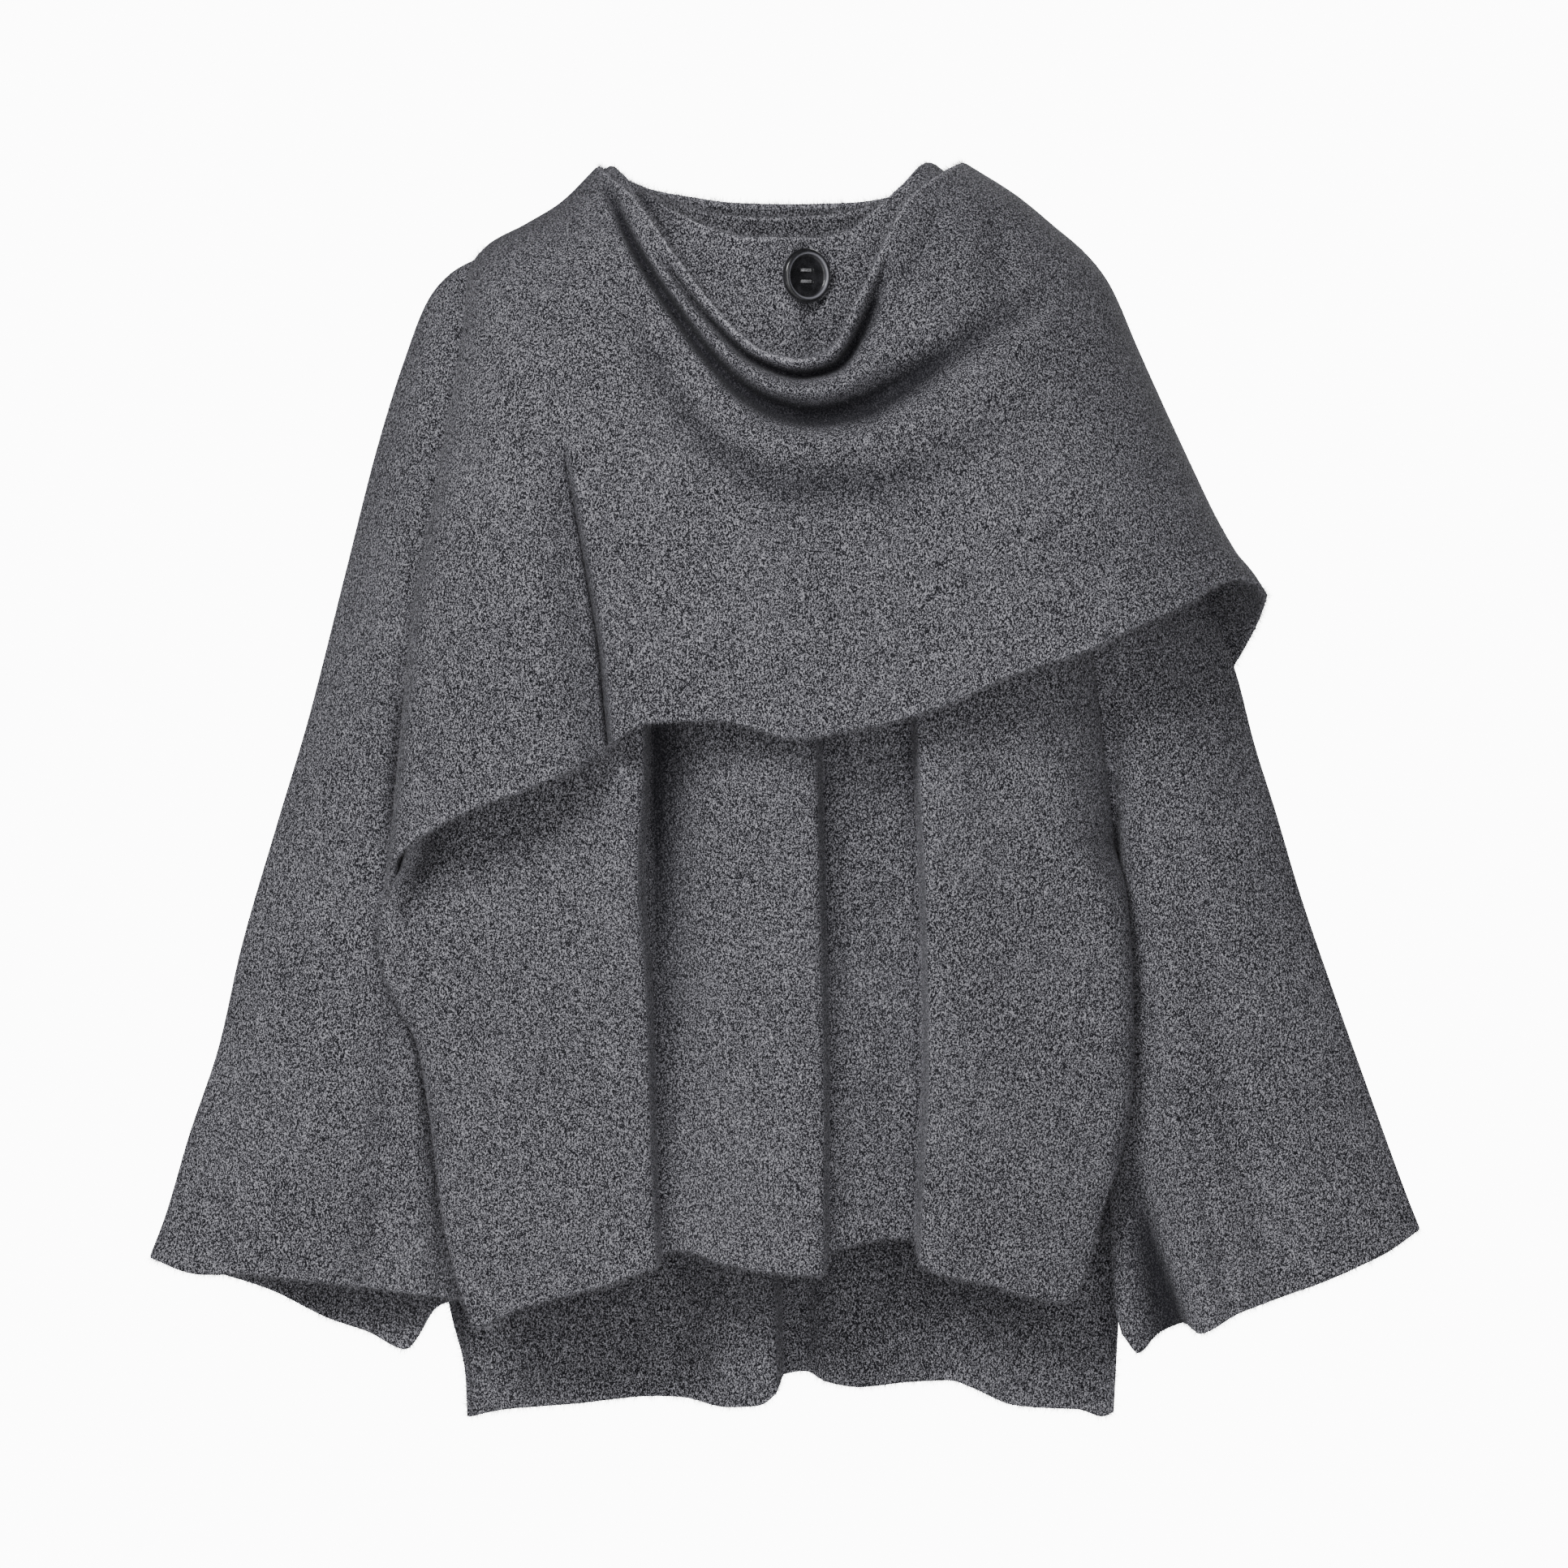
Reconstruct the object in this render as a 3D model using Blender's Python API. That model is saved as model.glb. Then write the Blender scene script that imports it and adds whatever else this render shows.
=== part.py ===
"""A knitted poncho sweater, hanging hollow as on the shoulders of a general figure.

Frame: x runs to the wearer's left, the front faces -y, z is up. The origin is in the middle of the
neck, level with the shoulder line. Tables and sizes are in millimetres, meshes in metres.

The sweater has a front and a longer back, joined at the shoulders and open at the side slits, and two
wide sleeves set in deep armholes, each sewn from a front and a back. Over it hangs a cape of a front and
a back, with a cowl neck. It wraps the wearer's left arm, and its free edge falls from the right shoulder.
A four-hole button sits at the neck.
"""

import bpy
import bmesh
import numpy as np

MM = 0.001
WALL = 2.6  # thickness of the double-faced knit
SEAM = 0.3  # gap between two pieces where they are sewn together

NECK_MIDDLE = -7.5  # x of the middle of the sweater's neck
NECK_HALF_WIDTH = 86.5
NECK_FRONT = 53.0  # how far the neck's edge stands forward of the shoulder line
NECK_BACK = 52.0
SHOULDER_ROUNDING = 70.0  # height over which the cloth turns down from the shoulder line
ARMHOLE_DEPTH = 42.0  # half the armhole's width from front to back
ARMHOLE_SEAM = 1.3  # gap between a sleeve and the body, which are sewn together there

BUTTON_PLACE = (11.9, -46.6)  # x and z of the button's middle
BUTTON_RADIUS = 14.8
BUTTON_THICK = 3.6
BUTTON_RIM = 3.0  # width of its raised rim
BUTTON_RIM_RISE = 1.1
BUTTON_HOLE_RADIUS = 1.3
BUTTON_HOLE_PLACE = 3.0  # from its middle to each hole's middle, along both of its axes
BUTTON_TURN = 33.0  # degrees that its face is turned towards the wearer's left
BUTTON_STAND_OFF = 68.7  # how far its middle stands forward of the shoulder line


def table(columns, *rows):
    """A table as a dict from each column's name to its values."""
    return dict(zip(columns.split(), np.array(rows, float).T))


# The line of the sweater's shoulders and front neck, seen from the front, and that of its back neck.
FRONT_TOP = table(
    "x z",
    (-160, -33), (-139, -21), (-121, -10.5), (-101, 8), (-94, 14.5), (-86, 7), (-78, 0), (-60, -11),
    (-42, -20), (-20, -26.4), (15, -26.4), (33, -23), (48, -12), (64, 3), (79, 16.3), (86, 12),
    (100, 1), (125, -13), (136, -20),
)
BACK_TOP = table(
    "x z",
    (-160, -33), (-139, -21), (-121, -10.5), (-101, 8), (-94, 14.5), (-80, 4), (-60, -3), (-38, -8.8),
    (-7, -11), (24, -9.7), (54, -3), (68, 5), (79, 16.3), (86, 12), (100, 1), (125, -13), (136, -20),
)

# The hems, with how far each place swings outwards: the flutes' ridges and valleys.
FRONT_HEM = table(
    "x z out",
    (-167, -613, 0), (-143, -601.5, 2), (-118, -594, 4), (-92, -587, 8), (-76, -581, 11), (-70, -579, 12),
    (-66.5, -572, -8), (-56, -570, -9), (-31, -577.5, 0), (-8, -581, 8), (12, -582.5, 12), (20, -582.5, 12),
    (23.5, -572, -4), (42, -566, -8), (56, -563.5, -10.5), (71, -563.5, -10), (74.5, -577, 12),
    (82, -581.7, 12), (110, -588, 7), (138, -596, 3), (152, -598, 1), (158, -594, 0),
)
BACK_HEM = table(
    "x z out",
    (-171, -662, 0), (-151, -658, -2), (-115, -655.5, 4), (-70, -651.5, 9), (-56, -652, 8),
    (-31, -657, -4), (-14, -656, -9), (-5, -650, -10), (-1, -640, 10), (12, -638, 11), (23, -643.5, 2),
    (40, -646, -5), (70, -643.5, 3), (90, -643, 9), (104, -647.5, 4), (124, -655.5, -6),
    (140, -657, -8), (160, -658, -3), (173, -662, 0), (178, -660, 1),
)

# Down each panel's two side edges: x, how far the edge lies off the middle plane, and the width over
# which the panel turns towards that edge. Down the armhole an edge is straight, from its first row to
# its second, and curves off the middle plane with the armhole itself.
FRONT_RIGHT_EDGE = table(
    "z x off turn",
    (-33, -160, 0, 60), (-350, -203, 1.6, 36), (-359, -202, 12, 32), (-367, -203.5, 25, 30),
    (-377, -209.5, 36, 28), (-388, -216.5, 41, 26), (-412, -217, 42, 22), (-440, -207, 39, 16),
    (-460, -197, 34, 10), (-500, -190, 31, 9), (-560, -182, 33, 9), (-613, -167, 35, 9),
)
FRONT_LEFT_EDGE = table(
    "z x off turn",
    (-20, 136, 0, 50), (-350, 178, 1.6, 30), (-359, 177, 12, 26), (-368, 178, 22, 20),
    (-380, 181, 31, 14), (-422, 187, 33, 10), (-466, 188, 30, 10), (-502, 185, 31, 10), (-519, 181, 32, 10),
    (-546, 172, 33, 10), (-594, 158, 34, 10),
)
BACK_RIGHT_EDGE = table(
    "z x off turn",
    (-33, -160, 0, 60), (-350, -203, 1.6, 40), (-359, -204, 11, 38), (-370, -205, 20, 36),
    (-395, -205, 26, 32), (-430, -200, 27, 24), (-480, -190, 22, 18), (-560, -184, 18, 14),
    (-600, -181, 16, 12), (-640, -172, 14, 12), (-662, -171, 14, 12),
)
BACK_LEFT_EDGE = table(
    "z x off turn",
    (-20, 136, 0, 60), (-350, 178, 1.6, 40), (-359, 177.5, 11, 38), (-370, 178.5, 20, 36),
    (-395, 180, 26, 32), (-430, 181, 27, 24), (-510, 183, 20, 16), (-554, 182, 17, 14),
    (-598, 181, 16, 12), (-660, 178, 14, 12),
)

# How far each layer stands off the middle plane down the middle of the body.
FRONT_DEPTH = table(
    "z depth", (20, 48), (0, 53), (-26, 57), (-60, 64), (-100, 70), (-180, 76), (-300, 70),
    (-400, 60), (-500, 50), (-620, 42),
)
BACK_DEPTH = table(
    "z depth", (20, 46), (-11, 54), (-60, 64), (-150, 70), (-300, 58), (-450, 40), (-600, 26), (-665, 22),
)
CAPE_FRONT_DEPTH = table(
    "z depth", (20, 58), (-30, 70), (-60, 79), (-93, 88), (-120, 94), (-160, 99), (-250, 102), (-380, 98),
)
CAPE_BACK_DEPTH = table("z depth", (20, 54), (-3, 63), (-60, 76), (-150, 84), (-260, 84), (-360, 78))

# Each sleeve's outer and inner line, from the armhole to the cuff.
RIGHT_SLEEVE_OUTER = table(
    "x z", (-160, -33), (-178, -42), (-191, -56), (-204, -88), (-219, -136), (-237, -207), (-257, -286),
    (-274, -343), (-293, -409), (-305, -462), (-321, -510), (-334, -554), (-342, -575),
)
RIGHT_SLEEVE_INNER = table(
    "x z", (-203, -350), (-207.5, -362), (-210, -380), (-208, -405), (-201, -435), (-190, -480), (-184, -520),
    (-179, -560), (-176, -597),
)
LEFT_SLEEVE_OUTER = table(
    "x z", (136, -20), (152, -33), (165, -50), (178, -84), (194, -134), (213, -187), (231, -228),
    (243, -257), (254, -299), (265, -334), (278, -378), (296, -431), (318, -493), (337, -545), (343, -560),
)
LEFT_SLEEVE_INNER = table(
    "x z", (178, -350), (182, -362), (183.5, -380), (183.5, -405), (183, -435), (181, -470), (179, -510),
    (178, -560), (180, -600), (184, -617),
)
# Along a sleeve: half its depth, how far its middle lies forward, and how pointed its two edges are.
SLEEVE_FORM = table(
    "along half forward point",
    (0, ARMHOLE_DEPTH, 0, 1), (0.1, 41, 0, 1.4), (0.3, 38, 1, 1.7), (0.6, 30, 5, 1.6), (1, 20, 9, 1.3),
)
# Lengthwise folds of the sleeves: place across (0 outer edge, 1 inner), width, rise, and where they start.
RIGHT_SLEEVE_FOLDS = table("at width rise start", (0.72, 0.07, -7, 0.35), (0.88, 0.06, 5, 0.3))
LEFT_SLEEVE_FOLDS = table(
    "at width rise start", (0.70, 0.05, 9, 0.45), (0.46, 0.09, -9, 0.15), (0.86, 0.05, -9, 0.5),
)
BACK_SLEEVE_FOLDS = table("at width rise start", (0.35, 0.08, 6, 0.3), (0.62, 0.07, -6, 0.4))
# How far the cuff's edge hangs below the straight line from its outer to its inner end.
RIGHT_CUFF_FRONT = table("at drop", (0, 0), (0.14, 5), (0.33, 1), (0.8, 0), (1, 0))
RIGHT_CUFF_BACK = table(
    "at drop", (0, 0), (0.17, 3), (0.39, 10), (0.56, 20), (0.7, 25), (0.82, 32), (0.93, 6), (1, 0),
)
LEFT_CUFF_FRONT = table(
    "at drop", (0, 0), (0.13, 6), (0.4, 9), (0.6, 9), (0.74, 13), (0.8, 4), (0.88, 5), (0.95, 12), (1, 0),
)
LEFT_CUFF_BACK = table("at drop", (0, 0), (0.4, 3), (0.8, 2), (0.95, 8), (1, 0))
CUFF_REACH = 0.22  # share of the sleeve over which the cuff's shape fades upwards

# The cape's outlines, seen from the front.
CAPE_FRONT_NECK = table(
    "x z", (-101, 14), (-82, -4), (-60, -35), (-38, -64), (-24, -79), (-10, -89), (8.5, -93),
    (21, -90), (30, -82), (37, -66), (46, -48), (58, -22), (68, -5), (88, 11), (98, 16),
)
CAPE_BACK_NECK = table(
    "x z", (-101, 14), (-86, 9), (-73, 4.5), (-51, 0.5), (-29, -2.5), (0, -3.5), (37, -2.5), (61, 1),
    (82, 8), (98, 16),
)
CAPE_SHOULDER_RIGHT = table("x z", (-101, 14), (-121, -5.5), (-139, -16.5), (-161, -29))
CAPE_FREE_EDGE = table(
    "x z off", (-161, -29, 0), (-169, -42, 18), (-172, -79, 46), (-182, -136, 57), (-187, -167, 61),
    (-198, -224, 66), (-203, -273, 68), (-207, -317, 69), (-211, -356, 68), (-214, -380, 66),
)
CAPE_BACK_FREE_EDGE = table(
    "x z off", (-161, -29, 0), (-169, -42, 18), (-172, -79, 44), (-183, -136, 54), (-194, -220, 60),
    (-202, -320, 60),
)
CAPE_LEFT_SIDE = table(
    "x z", (98, 16), (125, -1), (147, -19), (160, -30), (170, -41), (177, -52), (190, -82), (203, -111),
    (221, -150), (234, -177), (247, -199), (256, -210), (261, -218),
)
CAPE_FRONT_HEM = table(
    "x z", (-214, -380), (-209, -361), (-196, -348), (-170, -333.5), (-135, -320), (-99, -303.5),
    (-82, -289.5), (-70, -285.5), (-35, -284.5), (-14, -289.5), (5, -294), (37, -289.5), (81, -278),
    (125, -259), (162, -247), (191, -233), (213, -223.5), (226, -215), (235, -210.5), (244, -208),
    (254, -211), (261, -218),
)
CAPE_BACK_HEM = table(
    "x z", (-202, -320), (-170, -326), (-110, -322), (-60, -330), (0, -318), (60, -312), (120, -292),
    (190, -272), (225, -266), (243, -256), (252, -242), (258, -229), (261, -218),
)

# The cape's folds, each a soft trough (or a ridge, where deep is below nothing) along its own line. Its
# widths are those on the left and on the right of the way in which the line runs.
COWL_FOLDS = {
    "under the neck's edge": table(
        "x z deep left right",
        (-66, -38, 0, 4, 6), (-54, -56, 5, 6, 6.5), (-40, -73, 7, 6, 7), (-14, -95, 9, 6, 8),
        (8, -102, 9.5, 6, 8), (27, -98, 9.5, 6, 8), (42, -77, 8, 6, 7), (53, -50, 3, 5, 6),
        (60, -32, 0, 4, 6),
    ),
    "cowl": table(
        "x z deep left right",
        (-99, 8, 0, 6, 5), (-90, -10, 6, 6, 5), (-84, -24, 8, 7, 5.5), (-73, -44, 9, 7, 6),
        (-55, -71, 10, 8, 6), (-38, -93, 11, 9, 7), (-20, -110, 12, 9, 8), (-3, -118, 12, 9, 9),
        (15, -121, 12, 9, 9), (37, -117, 11, 10, 11), (59, -107, 10, 10, 12), (81, -94, 7, 11, 12),
        (103, -79, 5, 11, 12), (125, -63, 3.5, 11, 12), (150, -48, 0, 11, 12),
    ),
    "cowl ridge": table(
        "x z deep left right",
        (-66, -88, 0, 8, 9), (-38, -117, -3, 8, 10), (-3, -138, -4.5, 9, 12), (50, -134, -4.5, 9, 12),
        (90, -110, -4.5, 9, 12), (130, -82, -3, 9, 12), (160, -62, 0, 9, 9),
    ),
    "lower trough": table(
        "x z deep left right",
        (-86, -66, 0, 9, 9), (-73, -86, 3, 9, 9), (-55, -115, 4.5, 10, 10), (-30, -142, 5, 11, 12),
        (10, -158, 5.5, 12, 14), (50, -157, 4.5, 12, 14), (100, -134, 2.5, 12, 14), (150, -104, 0, 12, 14),
    ),
}
FRONT_CREASE = table(
    "x z deep left right",
    (-90, -330, 10, 16, 6), (-97, -272, 10, 16, 6), (-99, -246, 9, 16, 6), (-108, -194, 8, 15, 6),
    (-115, -155, 5, 14, 6), (-122, -108, 0, 12, 6),
)
BACK_CREASES = {
    "left of the middle": table(
        "x z deep left right", (62, -340, 7, 8, 12), (50, -220, 4, 8, 10), (40, -100, 0, 8, 8),
    ),
    "right of the middle": table(
        "x z deep left right", (-92, -340, 7, 14, 10), (-84, -240, 5, 12, 8), (-76, -120, 0, 8, 8),
    ),
}
FOLD_POINTS = 160  # along each fold's line
CAPE_HEM_SWING = table("x out", (-215, 0), (-110, 3), (-60, -3), (0, 4), (60, -1), (130, 2), (262, 0))
CAPE_BACK_SWING = table("x out", (-205, 0), (-60, 5), (0, -4), (60, 4), (140, -3), (262, 0))


def smooth(knots, values, at):
    """The values at `at` on a cubic curve through the knots that never overshoots them."""
    knots, values, at = (np.asarray(a, float) for a in (knots, values, at))
    if knots[0] > knots[-1]:
        knots, values = knots[::-1], values[::-1]
    step = np.diff(knots)
    slope = np.diff(values) / step
    tangent = np.zeros_like(values)
    product = slope[:-1] * slope[1:]
    rising = product > 0
    tangent[1:-1][rising] = 2 * product[rising] / (slope[:-1] + slope[1:])[rising]
    tangent[0], tangent[-1] = slope[0], slope[-1]
    k = np.clip(np.searchsorted(knots, at, side="right") - 1, 0, len(step) - 1)
    t = np.clip((at - knots[k]) / step[k], 0, 1)
    hermite = (1 - t) ** 2 * ((1 + 2 * t) * values[k] + t * step[k] * tangent[k])
    return hermite + t**2 * ((3 - 2 * t) * values[k + 1] - (1 - t) * step[k] * tangent[k + 1])


def path(line, shares, columns="x z"):
    """Points at shares of the length of the smooth line through a table's rows."""
    points = np.stack([line[c] for c in columns.split()], axis=-1)
    reach = np.concatenate([[0], np.cumsum(np.linalg.norm(np.diff(points[:, :2], axis=0), axis=1))])
    return np.stack([smooth(reach, p, shares * reach[-1]) for p in points.T], axis=-1)


def spread(knots, step):
    """The knots, with even points between any two that lie more than a step apart."""
    pieces = [
        np.linspace(a, b, int(np.ceil((b - a) / step)), endpoint=False) for a, b in zip(knots, knots[1:])
    ]
    return np.concatenate([*pieces, knots[-1:]])


def round_off(distance, width, power=0.5):
    """0 at an edge and 1 beyond the width: a quarter ellipse at power 0.5, a soft bend at power 1."""
    s = np.clip(distance / width, 0, 1)
    return (1 - (1 - s) ** 2) ** power


def trough(fold, x, z):
    """A fold's depth at each point: a bell across its line, as wide as its table says on either side."""
    line = path(fold, np.linspace(0, 1, FOLD_POINTS), "x z deep left right")
    nearest = np.argmin((x[..., None] - line[:, 0]) ** 2 + (z[..., None] - line[:, 1]) ** 2, axis=-1)
    place_x, place_z, deep, left, right = np.moveaxis(line[nearest], -1, 0)
    way_x, way_z = np.moveaxis(np.gradient(line[:, :2], axis=0)[nearest], -1, 0)
    off = (way_x * (z - place_z) - way_z * (x - place_x)) / np.hypot(way_x, way_z)
    return deep * np.exp(-((off / np.where(off > 0, left, right)) ** 2))


def normals_of(points, wraps=False):
    """Unit normals of a grid of points; wraps says that its first column follows its last."""
    if wraps:
        across = np.roll(points, -1, axis=0) - np.roll(points, 1, axis=0)
    else:
        across = np.gradient(points, axis=0)
    down = np.gradient(points, axis=1)
    normal = np.cross(across, down)
    return normal / np.linalg.norm(normal, axis=-1, keepdims=True)


def level(normals, where, axis):
    """Takes the component along an axis out of the normals there, so that a seam's faces lie in a plane."""
    flat = normals[where] - (normals[where] @ axis)[..., None] * axis
    normals[where] = flat / np.linalg.norm(flat, axis=-1, keepdims=True)


def cloth(name, points, normals):
    """A closed wall of even thickness about a grid of points, as an object."""
    across, down = points.shape[:2]
    sides = [points + normals * WALL / 2, points - normals * WALL / 2]
    corners = np.concatenate([s.reshape(-1, 3) for s in sides]) * MM
    outer, inner = np.arange(2 * across * down).reshape(2, across, down)

    def quads(a, b):
        """Faces between two neighbouring lines of points, given as rows of corner indices."""
        return np.stack([a[..., :-1], a[..., 1:], b[..., 1:], b[..., :-1]], axis=-1).reshape(-1, 4)

    faces = [quads(outer[:-1], outer[1:]), quads(inner[1:], inner[:-1])]
    faces += [quads(inner[:, 0], outer[:, 0]), quads(outer[:, -1], inner[:, -1])]
    faces += [quads(outer[0], inner[0]), quads(inner[-1], outer[-1])]
    mesh = bpy.data.meshes.new(name)
    mesh.from_pydata(corners.tolist(), [], np.concatenate(faces).tolist())
    tidy = bmesh.new()
    tidy.from_mesh(mesh)
    bmesh.ops.recalc_face_normals(tidy, faces=tidy.faces)
    tidy.to_mesh(mesh)
    tidy.free()
    mesh.shade_smooth()
    garment = bpy.data.objects.new(name, mesh)
    bpy.context.scene.collection.objects.link(garment)
    return garment


def armhole(z, edge):
    """How far the armhole seam lies off the middle plane at a height: half an ellipse down the armhole."""
    share = np.clip((edge["z"][0] - z) / (edge["z"][0] - edge["z"][1]), 0, 1)
    return np.maximum(2 * ARMHOLE_DEPTH * np.sqrt(share * (1 - share)), edge["off"][1])


def edge_x(z, edge):
    """A side edge's x at a height: straight down the armhole, then the curve of the side slit."""
    straight = np.interp(-z, -edge["z"][:2], edge["x"][:2])
    slit = smooth(edge["z"][1:], edge["x"][1:], z)
    return np.where(z > edge["z"][1], straight, slit)


FRONT_ROWS = np.array(
    [0, 0.006, 0.022, 0.05, 0.09, 0.14, 0.2, 0.28, 0.37, 0.46, 0.52, 0.547, 0.562, 0.577, 0.594, 0.613,
     0.65, 0.69, 0.735, 0.81, 0.9, 1]
)
BACK_ROWS = np.array(
    [0, 0.006, 0.022, 0.05, 0.09, 0.14, 0.2, 0.28, 0.37, 0.45, 0.504, 0.52, 0.537, 0.576, 0.63, 0.71,
     0.8, 0.9, 1]
)
FOLD_START, FOLD_FULL = -110.0, -330.0  # heights between which the body's flutes grow
EDGE_HOLD = 5  # how quickly the side edges' curves fade towards the middle of a panel
SIDE_FALL, SIDE_FALL_POWER = 0.22, 2.5  # share by which the body's depth falls at its sides, and how late
RIDGE = {"x": -2, "z": -52, "wide": 20, "high": 26, "rise": 5}  # the soft ridge right of the button


def body_panel(name, side, top, hem, right_edge, left_edge, depth, neck_depth, rows, step):
    """The sweater's front (side -1) or back (side 1).

    Columns run straight down from the shoulder line to the hem, rows across. Each point stands off the
    middle plane by the body's depth, rounded off towards the shoulder line and towards both side edges.
    """
    hem_x = spread(hem["x"], step)
    u = ((hem_x - hem_x[0]) / (hem_x[-1] - hem_x[0]))[:, None]
    v = rows[None, :]
    top_x = top["x"][0] + u * (top["x"][-1] - top["x"][0])
    top_z = smooth(top["x"], top["z"], top_x)
    hem_z = smooth(hem["x"], hem["z"], hem_x)[:, None]
    z = top_z + v * (hem_z - top_z)
    straight = top_x + v * (hem_x[:, None] - top_x)
    right, left = edge_x(z[:1], right_edge), edge_x(z[-1:], left_edge)
    x = straight + (right - straight[:1]) * (1 - u) ** EDGE_HOLD + (left - straight[-1:]) * u**EDGE_HOLD

    fall = SIDE_FALL * np.abs(2 * u - 1) ** SIDE_FALL_POWER
    middle = smooth(depth["z"], depth["depth"], z) * (1 - fall)
    grown = smooth((FOLD_FULL, FOLD_START), (1, 0), z)
    middle = middle + grown * smooth(hem["x"], hem["out"], hem_x)[:, None]
    off = []
    turned = []
    for edge, distance in ((right_edge, x - x[:1]), (left_edge, x[-1:] - x)):
        below = smooth(edge["z"], edge["off"], z)
        off.append(np.where(z > edge["z"][1], armhole(z, edge), below))
        turned.append(round_off(distance, smooth(edge["z"], edge["turn"], z)))
    body = middle * turned[0] * turned[1] + off[0] * (1 - turned[0]) + off[1] * (1 - turned[1])

    open_neck = np.sqrt(np.clip(1 - ((top_x - NECK_MIDDLE) / NECK_HALF_WIDTH) ** 2, 0, 1))
    edge_y = neck_depth * open_neck
    rise = round_off(top_z - z, SHOULDER_ROUNDING, 0.5 + 0.5 * open_neck)
    y = edge_y + (body - edge_y) * rise
    if side < 0:
        y = y + button_ridge(x, z)
    on_seam = (open_neck[:, 0] == 0)[:, None] & (v == 0)
    y = np.where(on_seam, SEAM / 2, y)

    points = np.stack([x, side * y, z], axis=-1)
    normals = normals_of(points)
    for column, edge in ((0, right_edge), (-1, left_edge)):
        on_armhole = np.zeros(z.shape, bool)
        on_armhole[column] = z[column] > edge["z"][1]
        level(normals, on_armhole, armhole_axis(edge))
    level(normals, np.broadcast_to(on_seam, z.shape), np.array([0.0, 1.0, 0.0]))
    return cloth(name, points, normals)


def armhole_axis(edge):
    """The direction square to the plane in which the armhole seam lies."""
    fall = np.array([edge["x"][1] - edge["x"][0], 0, edge["z"][1] - edge["z"][0]])
    return np.cross(fall / np.linalg.norm(fall), [0.0, 1.0, 0.0])


def button_ridge(x, z):
    """The soft ridge at the front of the neck, right of the button, which turns the cloth under it."""
    away = ((x - RIDGE["x"]) / RIDGE["wide"]) ** 2 + ((z - RIDGE["z"]) / RIDGE["high"]) ** 2
    return RIDGE["rise"] * np.exp(-away)


SLEEVE_AROUND = 30
SLEEVE_ROWS = np.array([0, 0.05, 0.12, 0.2, 0.3, 0.42, 0.54, 0.66, 0.78, 0.87, 0.94, 1])


def sleeve(name, outer, inner, folds, cuff_front, cuff_back):
    """A wide sleeve's front and back: flat rings that fan from the upright armhole to the cuff.

    Each ring runs from a point on the outer line over the front to one on the inner line, and back
    over the rear. It is a lens, as deep as the form table says there. The two pieces meet along both lines.
    """
    turn = 2 * np.pi * np.arange(SLEEVE_AROUND)[:, None] / SLEEVE_AROUND
    v = SLEEVE_ROWS[None, :]
    at = (1 - np.cos(turn)) / 2
    out_x, out_z = path(outer, SLEEVE_ROWS).T
    in_x, in_z = path(inner, SLEEVE_ROWS).T
    x = out_x + at * (in_x - out_x)
    z = out_z + at * (in_z - out_z)
    half, forward, point = (
        smooth(SLEEVE_FORM["along"], SLEEVE_FORM[column], v) for column in ("half", "forward", "point")
    )
    swell = half * np.abs(np.sin(turn)) ** point
    front = np.sin(turn) >= 0
    lens = np.abs(np.sin(turn)) ** 0.5
    for is_front, lines in ((True, folds), (False, BACK_SLEEVE_FOLDS)):
        for a, width, rise, start in zip(lines["at"], lines["width"], lines["rise"], lines["start"]):
            grown = smooth((start, 1), (0, 1), v) * (v > start)
            bump = rise * grown * lens * np.exp(-(((at - a) / width) ** 2))
            swell = swell + np.where(front == is_front, bump, 0)
    y = -forward + np.where(front, -swell, swell)
    hang = np.clip((v - 1) / CUFF_REACH + 1, 0, 1) ** 2
    front_drop, back_drop = (smooth(cuff["at"], cuff["drop"], at) for cuff in (cuff_front, cuff_back))
    z = z - hang * np.where(front, front_drop, back_drop)

    points = np.stack([x, y, z], axis=-1)
    seam = np.array([outer["x"][0] - inner["x"][0], 0, outer["z"][0] - inner["z"][0]])
    across = np.cross(seam / np.linalg.norm(seam), [0.0, 1.0, 0.0])
    if across[0] * outer["x"][0] < 0:
        across = -across
    points[:, 0] += across * ARMHOLE_SEAM
    normals = normals_of(points, wraps=True)
    first_ring = np.zeros(z.shape, bool)
    first_ring[:, 0] = True
    level(normals, first_ring, across)
    half_way = SLEEVE_AROUND // 2
    pieces = []
    for part, side, start in (("front", -1, 0), ("back", 1, half_way)):
        columns = np.arange(start, start + half_way + 1) % SLEEVE_AROUND
        grid, facing = points[columns], normals[columns]
        grid[[0, -1], :, 1] += side * SEAM / 2
        on_seam = np.zeros(grid.shape[:2], bool)
        on_seam[[0, -1]] = True
        level(facing, on_seam, np.array([0.0, 1.0, 0.0]))
        pieces.append(cloth(f"{name}_{part}", grid, facing))
    return pieces


def joined(first, second):
    """One table of x, z and off from a shoulder line and the free edge that follows it."""
    off = np.concatenate([np.zeros(len(first["x"])), second["off"][1:]])
    return {
        "x": np.concatenate([first["x"], second["x"][1:]]),
        "z": np.concatenate([first["z"], second["z"][1:]]),
        "off": off,
    }


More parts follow.
